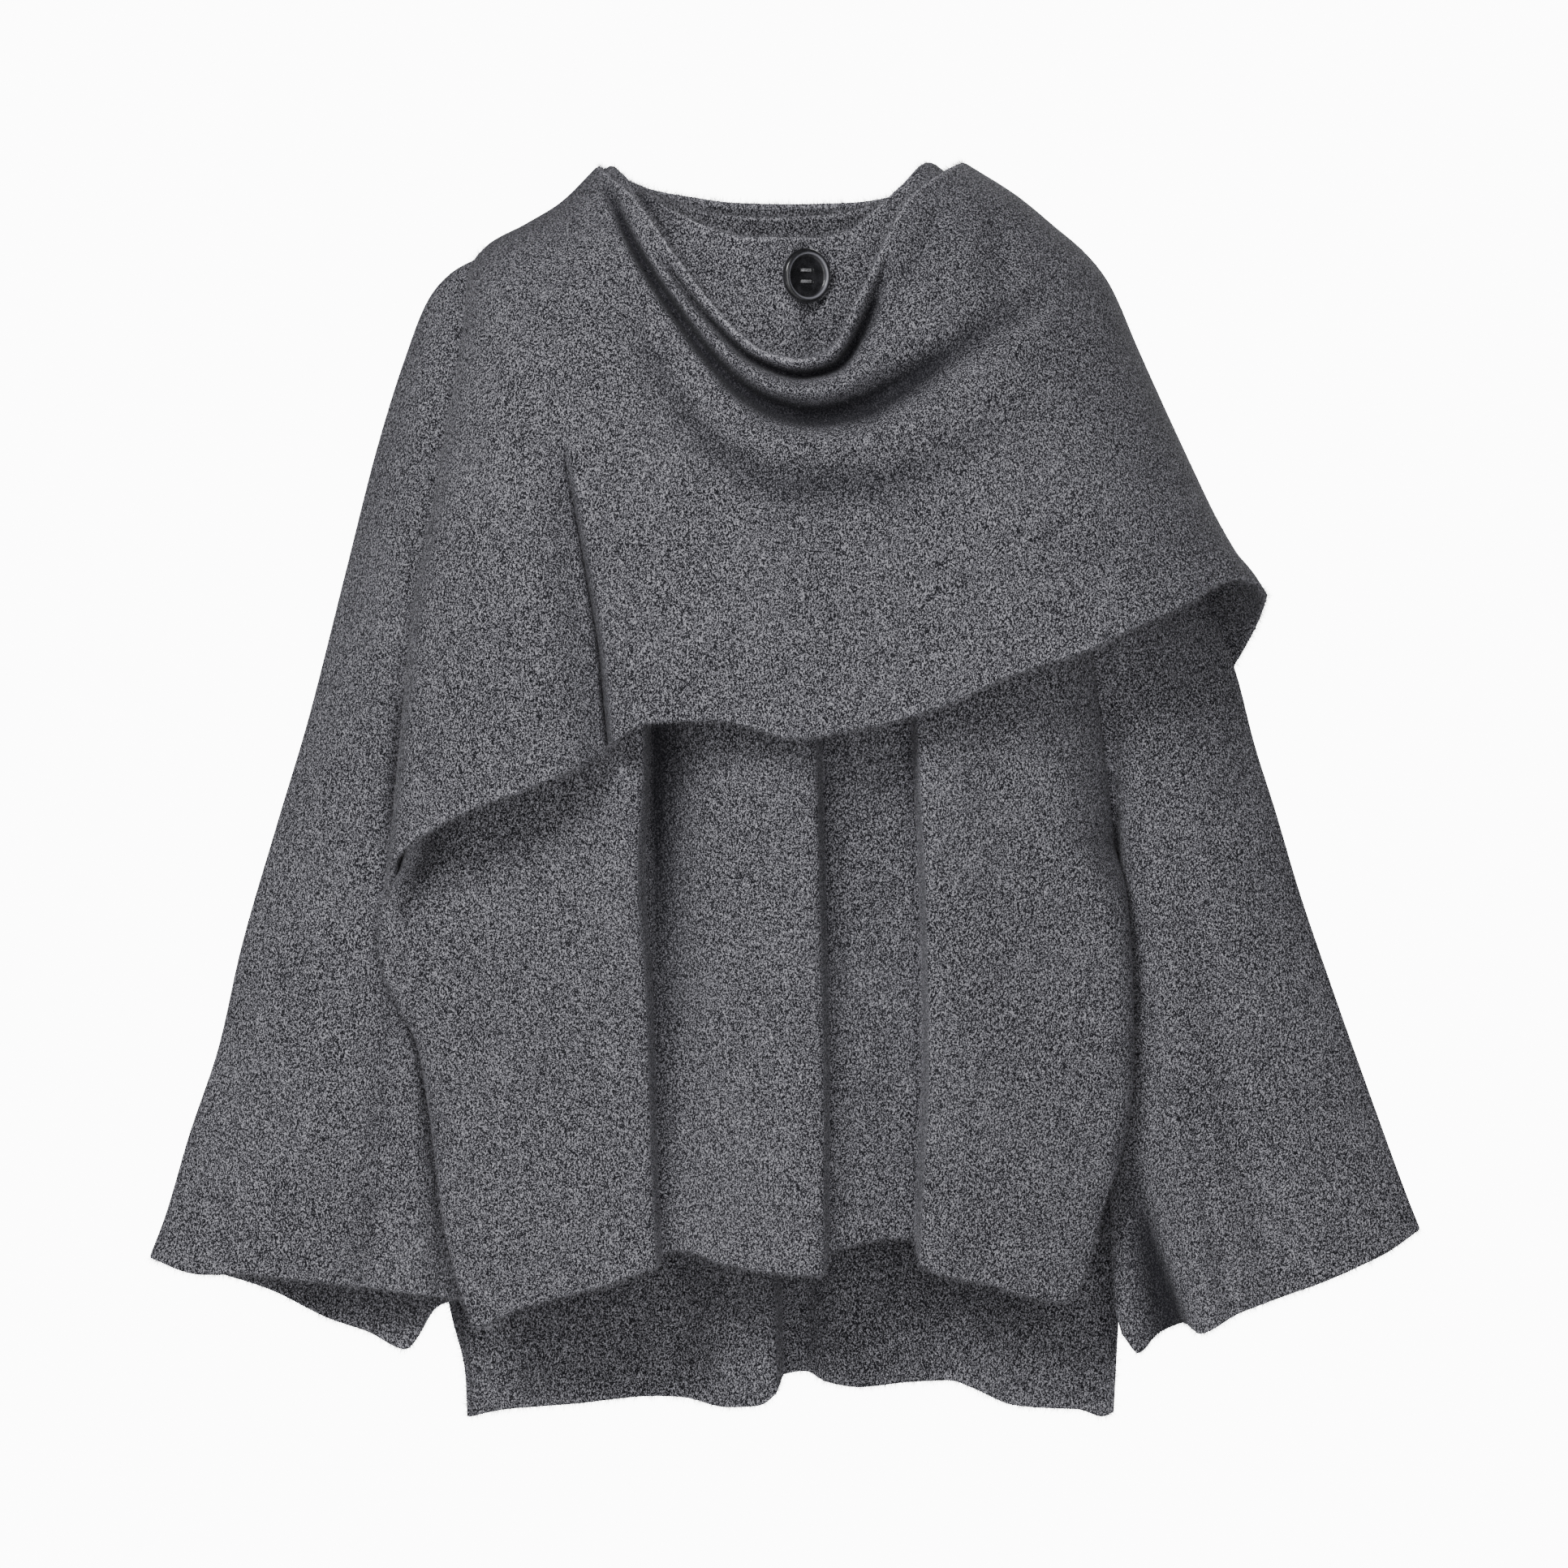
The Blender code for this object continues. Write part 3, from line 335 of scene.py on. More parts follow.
# Faint ripples of the cloth: waves by length, direction in degrees and share of the height.
RIPPLES = table(
    "length turn share start",
    (61, 12, 1.0, 0.3), (47, 71, 0.8, 2.1), (38, 128, 0.7, 4.0), (29, 35, 0.5, 1.2), (23, 98, 0.45, 5.1),
    (17, 152, 0.3, 3.3),
)


def smooth(knots, values, at):
    """The values at `at` on a cubic curve through the knots that never overshoots them."""
    knots, values, at = (np.asarray(a, float) for a in (knots, values, at))
    if knots[0] > knots[-1]:
        knots, values = knots[::-1], values[::-1]
    step = np.diff(knots)
    slope = np.diff(values) / step
    tangent = np.zeros_like(values)
    product = slope[:-1] * slope[1:]
    rising = product > 0
    tangent[1:-1][rising] = 2 * product[rising] / (slope[:-1] + slope[1:])[rising]
    tangent[0], tangent[-1] = slope[0], slope[-1]
    k = np.clip(np.searchsorted(knots, at, side="right") - 1, 0, len(step) - 1)
    t = np.clip((at - knots[k]) / step[k], 0, 1)
    hermite = (1 - t) ** 2 * ((1 + 2 * t) * values[k] + t * step[k] * tangent[k])
    return hermite + t**2 * ((3 - 2 * t) * values[k + 1] - (1 - t) * step[k] * tangent[k + 1])


def path(line, shares, columns="x z"):
    """Points at shares of the length of the smooth line through a table's rows."""
    points = np.stack([line[c] for c in columns.split()], axis=-1)
    reach = np.concatenate([[0], np.cumsum(np.linalg.norm(np.diff(points[:, :2], axis=0), axis=1))])
    return np.stack([smooth(reach, p, shares * reach[-1]) for p in points.T], axis=-1)


def spread(knots, step):
    """The knots, with even points between any two that lie more than a step apart."""
    counts = np.maximum(np.ceil(np.diff(knots) / step).astype(int), 1)
    pieces = [np.linspace(a, b, n, endpoint=False) for a, b, n in zip(knots, knots[1:], counts)]
    return np.concatenate([*pieces, knots[-1:]])


def unit(vectors):
    """The vectors at length 1."""
    return vectors / np.linalg.norm(vectors, axis=-1, keepdims=True)


def round_off(distance, width, power=0.5):
    """0 at an edge and 1 beyond the width: a quarter ellipse at power 0.5, a soft bend at power 1."""
    s = np.clip(distance / width, 0, 1)
    return (1 - (1 - s) ** 2) ** power


def trough(fold, x, z):
    """A fold's depth at each point: a bell across its line, as wide as its table says on either side.

    Each point takes the nearest point of the line. Its distance square to the line there, over the width
    on that side, is raised to the fold's steepness (2 where its table names none), and goes into the
    exponential that scales the fold's depth.
    """
    columns = "x z deep left right" + (" steep" if "steep" in fold else "")
    line = path(fold, np.linspace(0, 1, FOLD_POINTS), columns)
    nearest = np.empty(x.shape, int)
    for row in range(x.shape[0]):
        away = (x[row, :, None] - line[:, 0]) ** 2 + (z[row, :, None] - line[:, 1]) ** 2
        nearest[row] = np.argmin(away, axis=-1)
    place_x, place_z, deep, left, right, *rest = np.moveaxis(line[nearest], -1, 0)
    steep = rest[0] if rest else 2
    way_x, way_z = np.moveaxis(np.gradient(line[:, :2], axis=0)[nearest], -1, 0)
    off = (way_x * (z - place_z) - way_z * (x - place_x)) / np.hypot(way_x, way_z)
    return deep * np.exp(-(np.abs(off / np.where(off > 0, left, right)) ** steep))


def depth_of(folds, x, z):
    """The depths of several folds at each point, added up."""
    return sum((trough(fold, x, z) for fold in folds), np.zeros(x.shape))


def ripples(x, z, height):
    """Faint ripples: a sum of sine waves that run in different directions."""
    wave = np.zeros(np.broadcast_shapes(x.shape, z.shape))
    for length, turn, share, start in zip(*(RIPPLES[c] for c in ("length", "turn", "share", "start"))):
        a = np.radians(turn)
        wave = wave + share * np.sin(2 * np.pi * (x * np.cos(a) + z * np.sin(a)) / length + start)
    return height * wave / 2


def normals_of(points, wraps=False):
    """Unit normals of a grid of points; wraps says that the first column follows the last."""
    if wraps:
        across = np.roll(points, -1, axis=0) - np.roll(points, 1, axis=0)
    else:
        across = np.gradient(points, axis=0)
    return unit(np.cross(across, np.gradient(points, axis=1)))


def level(normals, where, axis):
    """Takes the component along an axis out of the normals there, so that a seam's faces lie in a plane."""
    normals[where] = unit(normals[where] - (normals[where] @ axis)[..., None] * axis)


class Cloth:
    """A grid of points through the middle of a cloth piece, with its normals and its free edges.

    `free` is 1 at border points where the cloth ends, and 0 where it is sewn to another piece. The fold
    shade is painted shade: 1 at the bottom of the deepest folds and 0 where there are none. The rim
    highlights say how strong the painted highlight along the cut edges is at the top, the hem, the
    wearer's right and left.
    """

    def __init__(self, name, points, normals, free, hollow, rim_highlights=(RIM_HIGHLIGHT, RIM_HIGHLIGHT, RIM_HIGHLIGHT, RIM_HIGHLIGHT)):
        self.name, self.points, self.normals, self.free = name, points, normals, free
        self.hollow, self.rim_highlights = hollow, rim_highlights
        away = points - np.array([points[..., 0].mean(), 0, points[..., 2].mean()])
        self.outside = 1 if (normals * away).sum() > 0 else -1

    def border(self):
        """The border's points, once round, by their places in the grid, counted along its rows."""
        across, down = self.points.shape[:2]
        index = np.arange(across * down).reshape(across, down)
        return np.concatenate([index[:-1, 0], index[-1, :-1], index[:0:-1, -1], index[0, :0:-1]])

    def outward(self):
        """At each point, the direction away from the middle of the grid, square to the normal."""
        steps = []
        for axis, size in enumerate(self.points.shape[:2]):
            side = np.zeros(size)
            side[0], side[-1] = -1, 1
            side = side[:, None, None] if axis == 0 else side[:, None]
            steps.append(unit(np.gradient(self.points, axis=axis)) * side)
        way = steps[0] + steps[1]
        way = way - (way * self.normals).sum(axis=-1, keepdims=True) * self.normals
        return way / np.maximum(np.linalg.norm(way, axis=-1, keepdims=True), 1e-9)

    def edge_highlight(self, reach):
        """The painted highlight: its rim's strength at a free edge, less by a bell of the reach with the
        distance along rows and columns.
        """
        share = np.zeros(self.free.shape)
        for axis, rim_highlights in ((1, self.rim_highlights[:2]), (0, self.rim_highlights[2:])):
            steps = np.diff(self.points, axis=axis, prepend=np.take(self.points, [0], axis))
            along = np.cumsum(np.linalg.norm(steps, axis=-1), axis=axis)
            for away, end, rim in ((along, 0, rim_highlights[0]), (np.take(along, [-1], axis) - along, -1, rim_highlights[1])):
                bell = np.exp(-((away / reach) ** 2))
                share = np.maximum(share, rim * np.take(self.free, [end], axis) * bell)
        return share


def quads(first, second):
    """Faces between neighbouring lines of corners."""
    sides = [first[..., :-1], first[..., 1:], second[..., 1:], second[..., :-1]]
    return np.stack(sides, axis=-1).reshape(-1, 4)


def bands(rings):
    """Faces between each ring of corners and the next."""
    closed = np.concatenate([rings, rings[:, :1]], axis=1)
    return quads(closed[:-1], closed[1:])


def mark(piece, label, values):
    """Gives a piece's corners a value each, which its material reads by the label."""
    piece.data.attributes.new(label, "FLOAT", "POINT").data.foreach_set("value", values)


def wall(cloth, thickness):
    """A cloth piece as a closed wall of even thickness.

    Both faces are the grid's points plus and minus half the thickness along the normal. Round each
    border runs a rim of three lines: the border point, plus half the thickness times the cosine of the
    line's angle along the normal, and times its sine along the outward direction where the edge is free.
    """
    across, down = cloth.points.shape[:2]
    half = thickness / 2
    flat_points, flat_normals = cloth.points.reshape(-1, 3), cloth.normals.reshape(-1, 3)
    flat_outward, flat_free = cloth.outward().reshape(-1, 3), cloth.free.reshape(-1)
    corners = [flat_points + flat_normals * half, flat_points - flat_normals * half]
    count = across * down
    index = np.arange(count).reshape(across, down)
    faces = [quads(index[:-1], index[1:]), quads(index[1:] + count, index[:-1] + count)]
    loop = cloth.border()
    rim = [loop]
    for number, angle in enumerate(np.radians([45, 90, 135])):
        bulge = np.sin(angle) * flat_free[loop, None] * flat_outward[loop]
        corners.append(flat_points[loop] + half * (bulge + np.cos(angle) * flat_normals[loop]))
        rim.append(2 * count + number * len(loop) + np.arange(len(loop)))
    faces.append(bands(np.stack([*rim, loop + count])))
    piece = mesh_object(cloth.name, np.concatenate(corners), np.concatenate(faces))
    # Marks for the material: a painted highlight along the free edges, and painted shade in the deep folds.
    for label, share in (("edge", cloth.edge_highlight(EDGE_HIGHLIGHT_REACH)), ("hollow", cloth.hollow)):
        share = share.reshape(-1)
        mark(piece, label, np.concatenate([share, share, np.tile(share[loop], 3)]))
    return piece


def mesh_object(name, corners, faces):
    """An object from corners in millimetres and faces, with outward normals."""
    mesh = bpy.data.meshes.new(name)
    mesh.from_pydata((corners * MM).tolist(), [], faces if isinstance(faces, list) else faces.tolist())
    tidy = bmesh.new()
    tidy.from_mesh(mesh)
    bmesh.ops.recalc_face_normals(tidy, faces=tidy.faces)
    tidy.to_mesh(mesh)
    tidy.free()
    mesh.shade_smooth()
    piece = bpy.data.objects.new(name, mesh)
    bpy.context.scene.collection.objects.link(piece)
    return piece


def armhole(z, edge):
    """How far the armhole seam lies off the middle plane at a height: half an ellipse down the armhole."""
    share = np.clip((edge["z"][0] - z) / (edge["z"][0] - edge["z"][1]), 0, 1)
    return np.maximum(2 * ARMHOLE_DEPTH * np.sqrt(share * (1 - share)), edge["off"][1])


def armhole_axis(edge):
    """The direction square to the plane in which the armhole seam lies."""
    fall = np.array([edge["x"][1] - edge["x"][0], 0, edge["z"][1] - edge["z"][0]])
    return np.cross(unit(fall), DEPTHWISE)


def edge_x(z, edge):
    """A side edge's x at a height: straight down the armhole, then the curve of the side slit."""
    straight = np.interp(-z, -edge["z"][:2], edge["x"][:2])
    slit = smooth(edge["z"][1:], edge["x"][1:], z)
    return np.where(z > edge["z"][1], straight, slit)


def body_panel(name, side, top, hem, right_edge, left_edge, depth, neck_depth, folds, step, ripple):
    """The sweater's front (side -1) or back (side 1).

    Columns run straight down from the shoulder line to the hem, rows across. Each point stands off the
    middle plane by the body's depth, rounded off towards the shoulder line and towards both side edges,
    and swings in and out below the chest as the hem's table says, less the depth of its folds.
    """
    inner = spread(hem["x"], step)
    inner = inner[(inner > inner[0] + EDGE_STEPS[-1] + 1) & (inner < inner[-1] - EDGE_STEPS[-1] - 1)]
    hem_x = np.concatenate([hem["x"][0] + EDGE_STEPS, inner, hem["x"][-1] - EDGE_STEPS[::-1]])
    u = ((hem_x - hem_x[0]) / (hem_x[-1] - hem_x[0]))[:, None]
    rows = spread(np.array([EDGE_ROWS[-1], 1]), step / BODY_HEIGHT)
    rows = np.union1d(np.concatenate([EDGE_ROWS, UNDERARM_ROWS]), rows)
    v = rows[np.concatenate([[True], np.diff(rows) > LEAST_ROW])][None, :]
    top_x = top["x"][0] + u * (top["x"][-1] - top["x"][0])
    top_z = smooth(top["x"], top["z"], top_x)
    hem_z = smooth(hem["x"], hem["z"], hem_x)[:, None]
    z = top_z + v * (hem_z - top_z)
    straight = top_x + v * (hem_x[:, None] - top_x)
    right, left = edge_x(z[:1], right_edge), edge_x(z[-1:], left_edge)
    x = straight + (right - straight[:1]) * (1 - u) ** EDGE_HOLD + (left - straight[-1:]) * u**EDGE_HOLD

    middle = smooth(depth["z"], depth["depth"], z) * (1 - SIDE_FALL * np.abs(2 * u - 1) ** SIDE_POWER)
    grown = smooth((FOLD_FULL, FOLD_START), (1, 0), z)
    middle = middle + grown * smooth(hem["x"], hem["out"], hem_x)[:, None]
    off, turn = [], []
    for edge, distance in ((right_edge, x - x[:1]), (left_edge, x[-1:] - x)):
        below = smooth(edge["z"], edge["off"], z)
        off.append(np.where(z > edge["z"][1], armhole(z, edge), below))
        turn.append(round_off(distance, smooth(edge["z"], edge["turn"], z)))
    body = middle * turn[0] * turn[1] + off[0] * (1 - turn[0]) + off[1] * (1 - turn[1])

    open_neck = np.sqrt(np.clip(1 - ((top_x - NECK_MIDDLE) / NECK_HALF_WIDTH) ** 2, 0, 1))
    edge_y = neck_depth * open_neck
    # A quarter ellipse where the shoulder is sewn, and a soft bend at the open neck.
    rise = round_off(top_z - z, SHOULDER_ROUNDING, 0.5 + 0.5 * open_neck)
    y = edge_y + (body - edge_y) * rise
    folded = depth_of(folds, x, z)
    y = y - folded
    if side < 0:
        y = y + button_ridge(x, z)
    y = y + ripples(x, z, ripple) * rise * turn[0] * turn[1]
    sewn = (open_neck == 0) & (v == 0)
    y = np.where(sewn, SEAM / 2, y)

    points = np.stack([x, side * y, z], axis=-1)
    normals = normals_of(points)
    free = 1.0 - sewn
    for column, edge in ((0, right_edge), (-1, left_edge)):
        on_armhole = np.zeros(z.shape, bool)
        on_armhole[column] = z[column] > edge["z"][1]
        level(normals, on_armhole, armhole_axis(edge))
        free[on_armhole] = 0
    level(normals, sewn, DEPTHWISE)
    # The folds' depth, as a share, becomes painted shade in them.
    return Cloth(name, points, normals, free, np.clip(folded / DEEP_FOLD, 0, 1), BODY_RIM_HIGHLIGHTS)


def button_ridge(x, z):
    """The soft ridge at the front of the neck, right of the button, which turns the cloth under it."""
    away = ((x - RIDGE["x"]) / RIDGE["wide"]) ** 2 + ((z - RIDGE["z"]) / RIDGE["high"]) ** 2
    return RIDGE["rise"] * np.exp(-away)


def sleeve(name, outer, inner, folds, creases, cuff_front, cuff_back, ripple):
    """A wide sleeve's front and back: flat rings that fan from the upright armhole to the cuff.

    Each ring runs from a point on the outer line over the front to one on the inner line, and back
    over the rear. It is a lens, as deep as the form table says there, with the folds' bells added and the
    creases' troughs taken off its front.
    """
    around, rows = SLEEVE_GRID
    turn = 2 * np.pi * np.arange(around)[:, None] / around
    v = np.linspace(0, 1, rows)[None, :]
    at = (1 - np.cos(turn)) / 2
    out_x, out_z = path(outer, v[0]).T
    in_x, in_z = path(inner, v[0]).T
    x = out_x + at * (in_x - out_x)
    z = out_z + at * (in_z - out_z)
    along = SLEEVE_FORM["along"]
    half, forward, point = (smooth(along, SLEEVE_FORM[c], v) for c in ("half", "forward", "point"))
    swell = half * np.abs(np.sin(turn)) ** point
    front = np.sin(turn) >= 0
    lens = np.abs(np.sin(turn)) ** 0.5
    for is_front, lines in ((True, folds), (False, BACK_SLEEVE_FOLDS)):
        for a, width, rise, start in zip(lines["at"], lines["width"], lines["rise"], lines["start"]):
            grown = smooth((start, 1), (0, 1), v) * (v > start)
            bump = rise * grown * lens * np.exp(-(((at - a) / width) ** 2))
            swell = swell + np.where(front == is_front, bump, 0)
    folded = depth_of(creases, x, z) * front
    rippled = ripples(x, z, ripple) * lens * np.minimum(v * RIPPLE_GROWTH["sleeve"], 1)
    swell = swell - folded + rippled
    y = -forward + np.where(front, -swell, swell)
    hang = np.clip((v - 1) / CUFF_REACH + 1, 0, 1) ** 2
    front_drop = smooth(cuff_front["at"], cuff_front["drop"], at)
    z = z - hang * np.where(front, front_drop, smooth(cuff_back["at"], cuff_back["drop"], at))

    points = np.stack([x, y, z], axis=-1)
    seam = np.array([outer["x"][0] - inner["x"][0], 0, outer["z"][0] - inner["z"][0]])
    across = np.cross(unit(seam), DEPTHWISE)
    if across[0] * outer["x"][0] < 0:
        across = -across
    points[:, 0] += across * ARMHOLE_SEAM
    normals = normals_of(points, wraps=True)
    first_ring = np.zeros(z.shape, bool)
    first_ring[:, 0] = True
    level(normals, first_ring, across)
    pieces = []
    for part, side, start in (("front", -1, 0), ("back", 1, around // 2)):
        columns = np.arange(start, start + around // 2 + 1) % around
        grid, facing = points[columns], normals[columns]
        grid[[0, -1], :, 1] += side * SEAM / 2
        on_seam, free = np.zeros(grid.shape[:2], bool), np.zeros(grid.shape[:2])
        on_seam[[0, -1]] = True
        free[:, -1] = 1
        level(facing, on_seam, DEPTHWISE)
        # Painted shade in the creases, by their depth.
        hollow = np.clip(folded[columns] / DEEP_FOLD, 0, 1)
        pieces.append(Cloth(f"{name}_{part}", grid, facing, free, hollow))
    return pieces


def joined(first, second):
    """One table of x, z and off from a shoulder line and the free edge that follows it."""
    start = {**first, "off": np.zeros(len(first["x"]))}
    return {column: np.concatenate([start[column], second[column][1:]]) for column in ("x", "z", "off")}


def cape_panel(name, side, neck, right, hem, depth, folds, creases, swing, across, down, turn, ripple):
    """The cape's front (side -1) or back (side 1).

    Its outline is four lines: neck, right side (shoulder, then free edge), left side and hem. Points
    between are blended from the four, and stand off the middle plane by the cape's depth, rounded off
    towards the shoulder line on both sides, less the depth of its folds and its soft creases.
    """
    u, v = across[:, None], down[None, :]
    top = path(neck, across)[:, None]
    bottom = path(hem, across)[:, None]
    first, last = path(right, down, "x z off"), path(CAPE_LEFT_SIDE, down)[None]
    edge_off = first[None, :, 2]
    first = first[None, :, :2]
    u3, v3 = u[..., None], v[..., None]
    ends = [(1 - v3) * top[end] + v3 * bottom[end] for end in ([0], [-1])]
    corners = (1 - u3) * ends[0] + u3 * ends[1]
    x, z = np.moveaxis((1 - v3) * top + v3 * bottom + (1 - u3) * first + u3 * last - corners, -1, 0)

    folded = depth_of(folds, x, z)
    middle = smooth(depth["z"], depth["depth"], z) - folded - depth_of(creases, x, z)
    middle = middle + v**2 * smooth(swing["x"], swing["out"], x)
    # A quarter ellipse where the shoulder is sewn, and a softer bend at the free edge.
    free_side = np.clip(edge_off / edge_off.max(), 0, 1)
    near_right = round_off(u, turn[0], 0.5 + 0.4 * free_side)
    near_left = round_off(1 - u, turn[1])
    y = (edge_off + (middle - edge_off) * near_right) * near_left
    growth = np.minimum(v * RIPPLE_GROWTH["cape"], 1)
    y = y + ripples(x, z, ripple) * near_right * near_left * growth
    sewn = (near_left == 0) | ((u == 0) & (edge_off == 0))
    y = np.where(sewn, SEAM / 2, y)

    points = np.stack([x, side * y, z], axis=-1)
    normals = normals_of(points)
    level(normals, sewn, DEPTHWISE)
    # Painted shade in the cowl's folds, by their depth.
    hollow = np.clip(folded * near_right / DEEP_FOLD, 0, 1)
    return Cloth(name, points, normals, 1.0 - sewn, hollow, CAPE_RIM_HIGHLIGHTS)


def even_to_edges(count, crowd):
    """Shares from 0 to 1, crowded towards both ends."""
    t = np.linspace(0, 1, count)
    return (1 - crowd) * t + crowd * (1 - np.cos(np.pi * t)) / 2


# Loose fibres: where their roots lie off the cloth's middle, as shares of its thickness; how far they lean
# by chance; the angle to either side of outward in which an edge's fibres fan, in radians; the range of
# their length, as shares of the named one before it is raised to a power; how much longer an edge's
# fibres are; and the share of a face's fibres that stand on its outer side.
FIBRE_ROOT = {"edge": 0.45, "face": 0.47}
FIBRE_LEAN = {"edge": 0.45, "face": 0.9}
FIBRE_FAN = 1.3
FIBRE_RANGE, FIBRE_POWER = (0.35, 1.15), 1.5
EDGE_LONGER = 1.5
OUTER_SHARE = 0.75


def fibres(cloth, thickness, length, width, per_edge, per_face, seed):
    """Loose wool fibres of a cloth piece: thin needles, each three root points and a tip.

    Roots lie at random between neighbouring points of the free edges, and at random places of both
    faces. A needle leans from the outward direction or the normal by random amounts. Its length is
    the named one times a random share, and half as much again on an edge.
    """
    chance = np.random.default_rng(seed)
    points, normals = cloth.points.reshape(-1, 3), cloth.normals.reshape(-1, 3)
    outward, free = cloth.outward().reshape(-1, 3), cloth.free.reshape(-1)
    loop = cloth.border()
    after = np.roll(loop, -1)
    span = np.linalg.norm(points[after] - points[loop], axis=1) * free[loop] * free[after]
    count = int(span.sum() * per_edge)
    pick = chance.choice(len(loop), count, p=span / span.sum())
    share = chance.random((count, 1))
    root = points[loop[pick]] * (1 - share) + points[after[pick]] * share
    angle = chance.uniform(-FIBRE_FAN, FIBRE_FAN, (count, 1))
    way = np.cos(angle) * outward[loop[pick]] + np.sin(angle) * normals[loop[pick]]
    roots = [root + way * thickness * FIBRE_ROOT["edge"]]
    ways = [way + chance.normal(0, FIBRE_LEAN["edge"], (count, 3))]

    steps = [np.gradient(cloth.points, axis=axis).reshape(-1, 3) for axis in (0, 1)]
    area = np.linalg.norm(np.cross(*steps), axis=-1)
    count = int(area.sum() * per_face)
    pick = chance.choice(len(points), count, p=area / area.sum())
    side = np.where(chance.random((count, 1)) < OUTER_SHARE, 1, -1) * cloth.outside
    step_a, step_b = (step[pick] * chance.uniform(-0.5, 0.5, (count, 1)) for step in steps)
    roots.append(points[pick] + step_a + step_b + normals[pick] * side * thickness * FIBRE_ROOT["face"])
    ways.append(normals[pick] * side + chance.normal(0, FIBRE_LEAN["face"], (count, 3)))

    root, way = np.concatenate(roots), unit(np.concatenate(ways))
    reach = length * chance.uniform(*FIBRE_RANGE, (len(root), 1)) ** FIBRE_POWER
    reach[: len(roots[0])] *= EDGE_LONGER
    side_a = unit(np.cross(way, chance.normal(0, 1, (len(root), 3))))
    side_b = np.cross(way, side_a)
    thirds = np.radians([0, 120, 240])
    ring = [root + width / 2 * (np.cos(a) * side_a + np.sin(a) * side_b) for a in thirds]
    corners = np.stack([*ring, root + way * reach], axis=1).reshape(-1, 3)
    start = 4 * np.arange(len(root))[:, None]
    faces = np.concatenate([start + face for face in ([0, 2, 1], [0, 1, 3], [1, 2, 3], [2, 0, 3])])
    return mesh_object(f"{cloth.name}_fibres", corners, faces)


# The button's profile from the middle of its face, round the rim, to the middle of its back.
BUTTON_PROFILE = table(
    "radius height",
    (2, 0.45), (7, 0.5), (10, 0.6), (11.2, 0.9), (11.6, 2), (12, 2.6), (12.9, 2.8), (13.9, 2.45),
    (14.5, 1.7), (14.8, 0.7), (14.7, -0.4), (14.1, -1.3), (13, -1.75), (11, -1.8), (4, -1.8),
)
BUTTON_HOLES = ((3, 3), (3, -3), (-3, -3), (-3, 3))
HOLE_CUTTER = np.array([[1.3, 5.0], [1.3, -5.0]])  # the radius and height of both its ends
BUTTON_PLACE = np.array([11.9, -68.7, -46.6])  # its middle
BUTTON_TURN = np.radians(33.0)  # how far its face is turned towards the wearer's left
BUTTON_OUT = np.array([np.sin(BUTTON_TURN), -np.cos(BUTTON_TURN), 0])
HIGHLIGHT_RING_RADIUS, HIGHLIGHT_RING_REACH = 12.1, 0.5  # where a painted highlight ring lies on its rim
STITCH_ARC = table(
    "along height",
    (-3, -1.4), (-2.9, 0.2), (-2.2, 1.15), (0, 1.4), (2.2, 1.15), (2.9, 0.2), (3, -1.4),
)
STITCH_ROWS, STITCH_SHIFTS = (-3.0, 3.0), (-0.42, 0.42)  # two threads run side by side in each row
THREAD_RADIUS = 0.4
BUTTONHOLE = table("x z", (25.5, -50), (25, -55), (23, -61), (19.6, -67))
BUTTONHOLE_STITCH = 0.6
LINE_POINTS, PROFILE_POINTS = 24, 60  # along a stitch or round a hole, and along the profile
OFF_AXIS = [0.31, 0.17, 0.93]  # a direction that no stitch runs in


def on_cloth(cloth, line, off):
    """Points of a line in x and z, laid a distance off the front of a cloth piece."""
    points = cloth.points.reshape(-1, 3)
    away = ((points[None, :, [0, 2]] - line[:, None]) ** 2).sum(axis=-1)
    nearest = np.argsort(away, axis=1)[:, :4]
    return np.stack([line[:, 0], points[nearest, 1].mean(axis=1) - off, line[:, 1]], axis=-1)


def turned(profile, around):
    """Corners and faces of a closed body: its profile turned about its axis, with a fan at each pole."""
    radius, height = profile.T
    angle = 2 * np.pi * np.arange(around) / around
    wide, high = radius[:, None], height[:, None]
    rings = np.stack([wide * np.cos(angle), wide * np.sin(angle), high + 0 * angle], axis=-1)
    corners = np.concatenate([rings.reshape(-1, 3), [[0, 0, height[0]], [0, 0, height[-1]]]])
    lines = np.arange(len(profile) * around).reshape(len(profile), around)
    after = np.roll(lines, -1, axis=1)
    top = [[len(corners) - 2, b, a] for a, b in zip(lines[0], after[0])]
    bottom = [[len(corners) - 1, a, b] for a, b in zip(lines[-1], after[-1])]
    return corners, bands(lines).tolist() + top + bottom


def tube(line, radius, around=10):
    """Corners and faces of a closed tube: a circle carried along a line of points, square to its way."""
    way = unit(np.gradient(line, axis=0))
    side_a = unit(np.cross(way, OFF_AXIS))
    side_b = np.cross(way, side_a)
    angle = 2 * np.pi * np.arange(around)[:, None] / around
    rings = line[:, None] + radius * (np.cos(angle) * side_a[:, None] + np.sin(angle) * side_b[:, None])
    index = np.arange(len(line) * around).reshape(len(line), around)
    return rings.reshape(-1, 3), bands(index).tolist() + [index[0].tolist(), index[-1, ::-1].tolist()]


def together(parts):
    """Corners and faces of several bodies as one mesh's."""
    starts = np.cumsum([0] + [len(corners) for corners, _ in parts])
    faces = [[start + i for i in face] for start, (_, part) in zip(starts, parts) for face in part]
    return np.concatenate([corners for corners, _ in parts]), faces


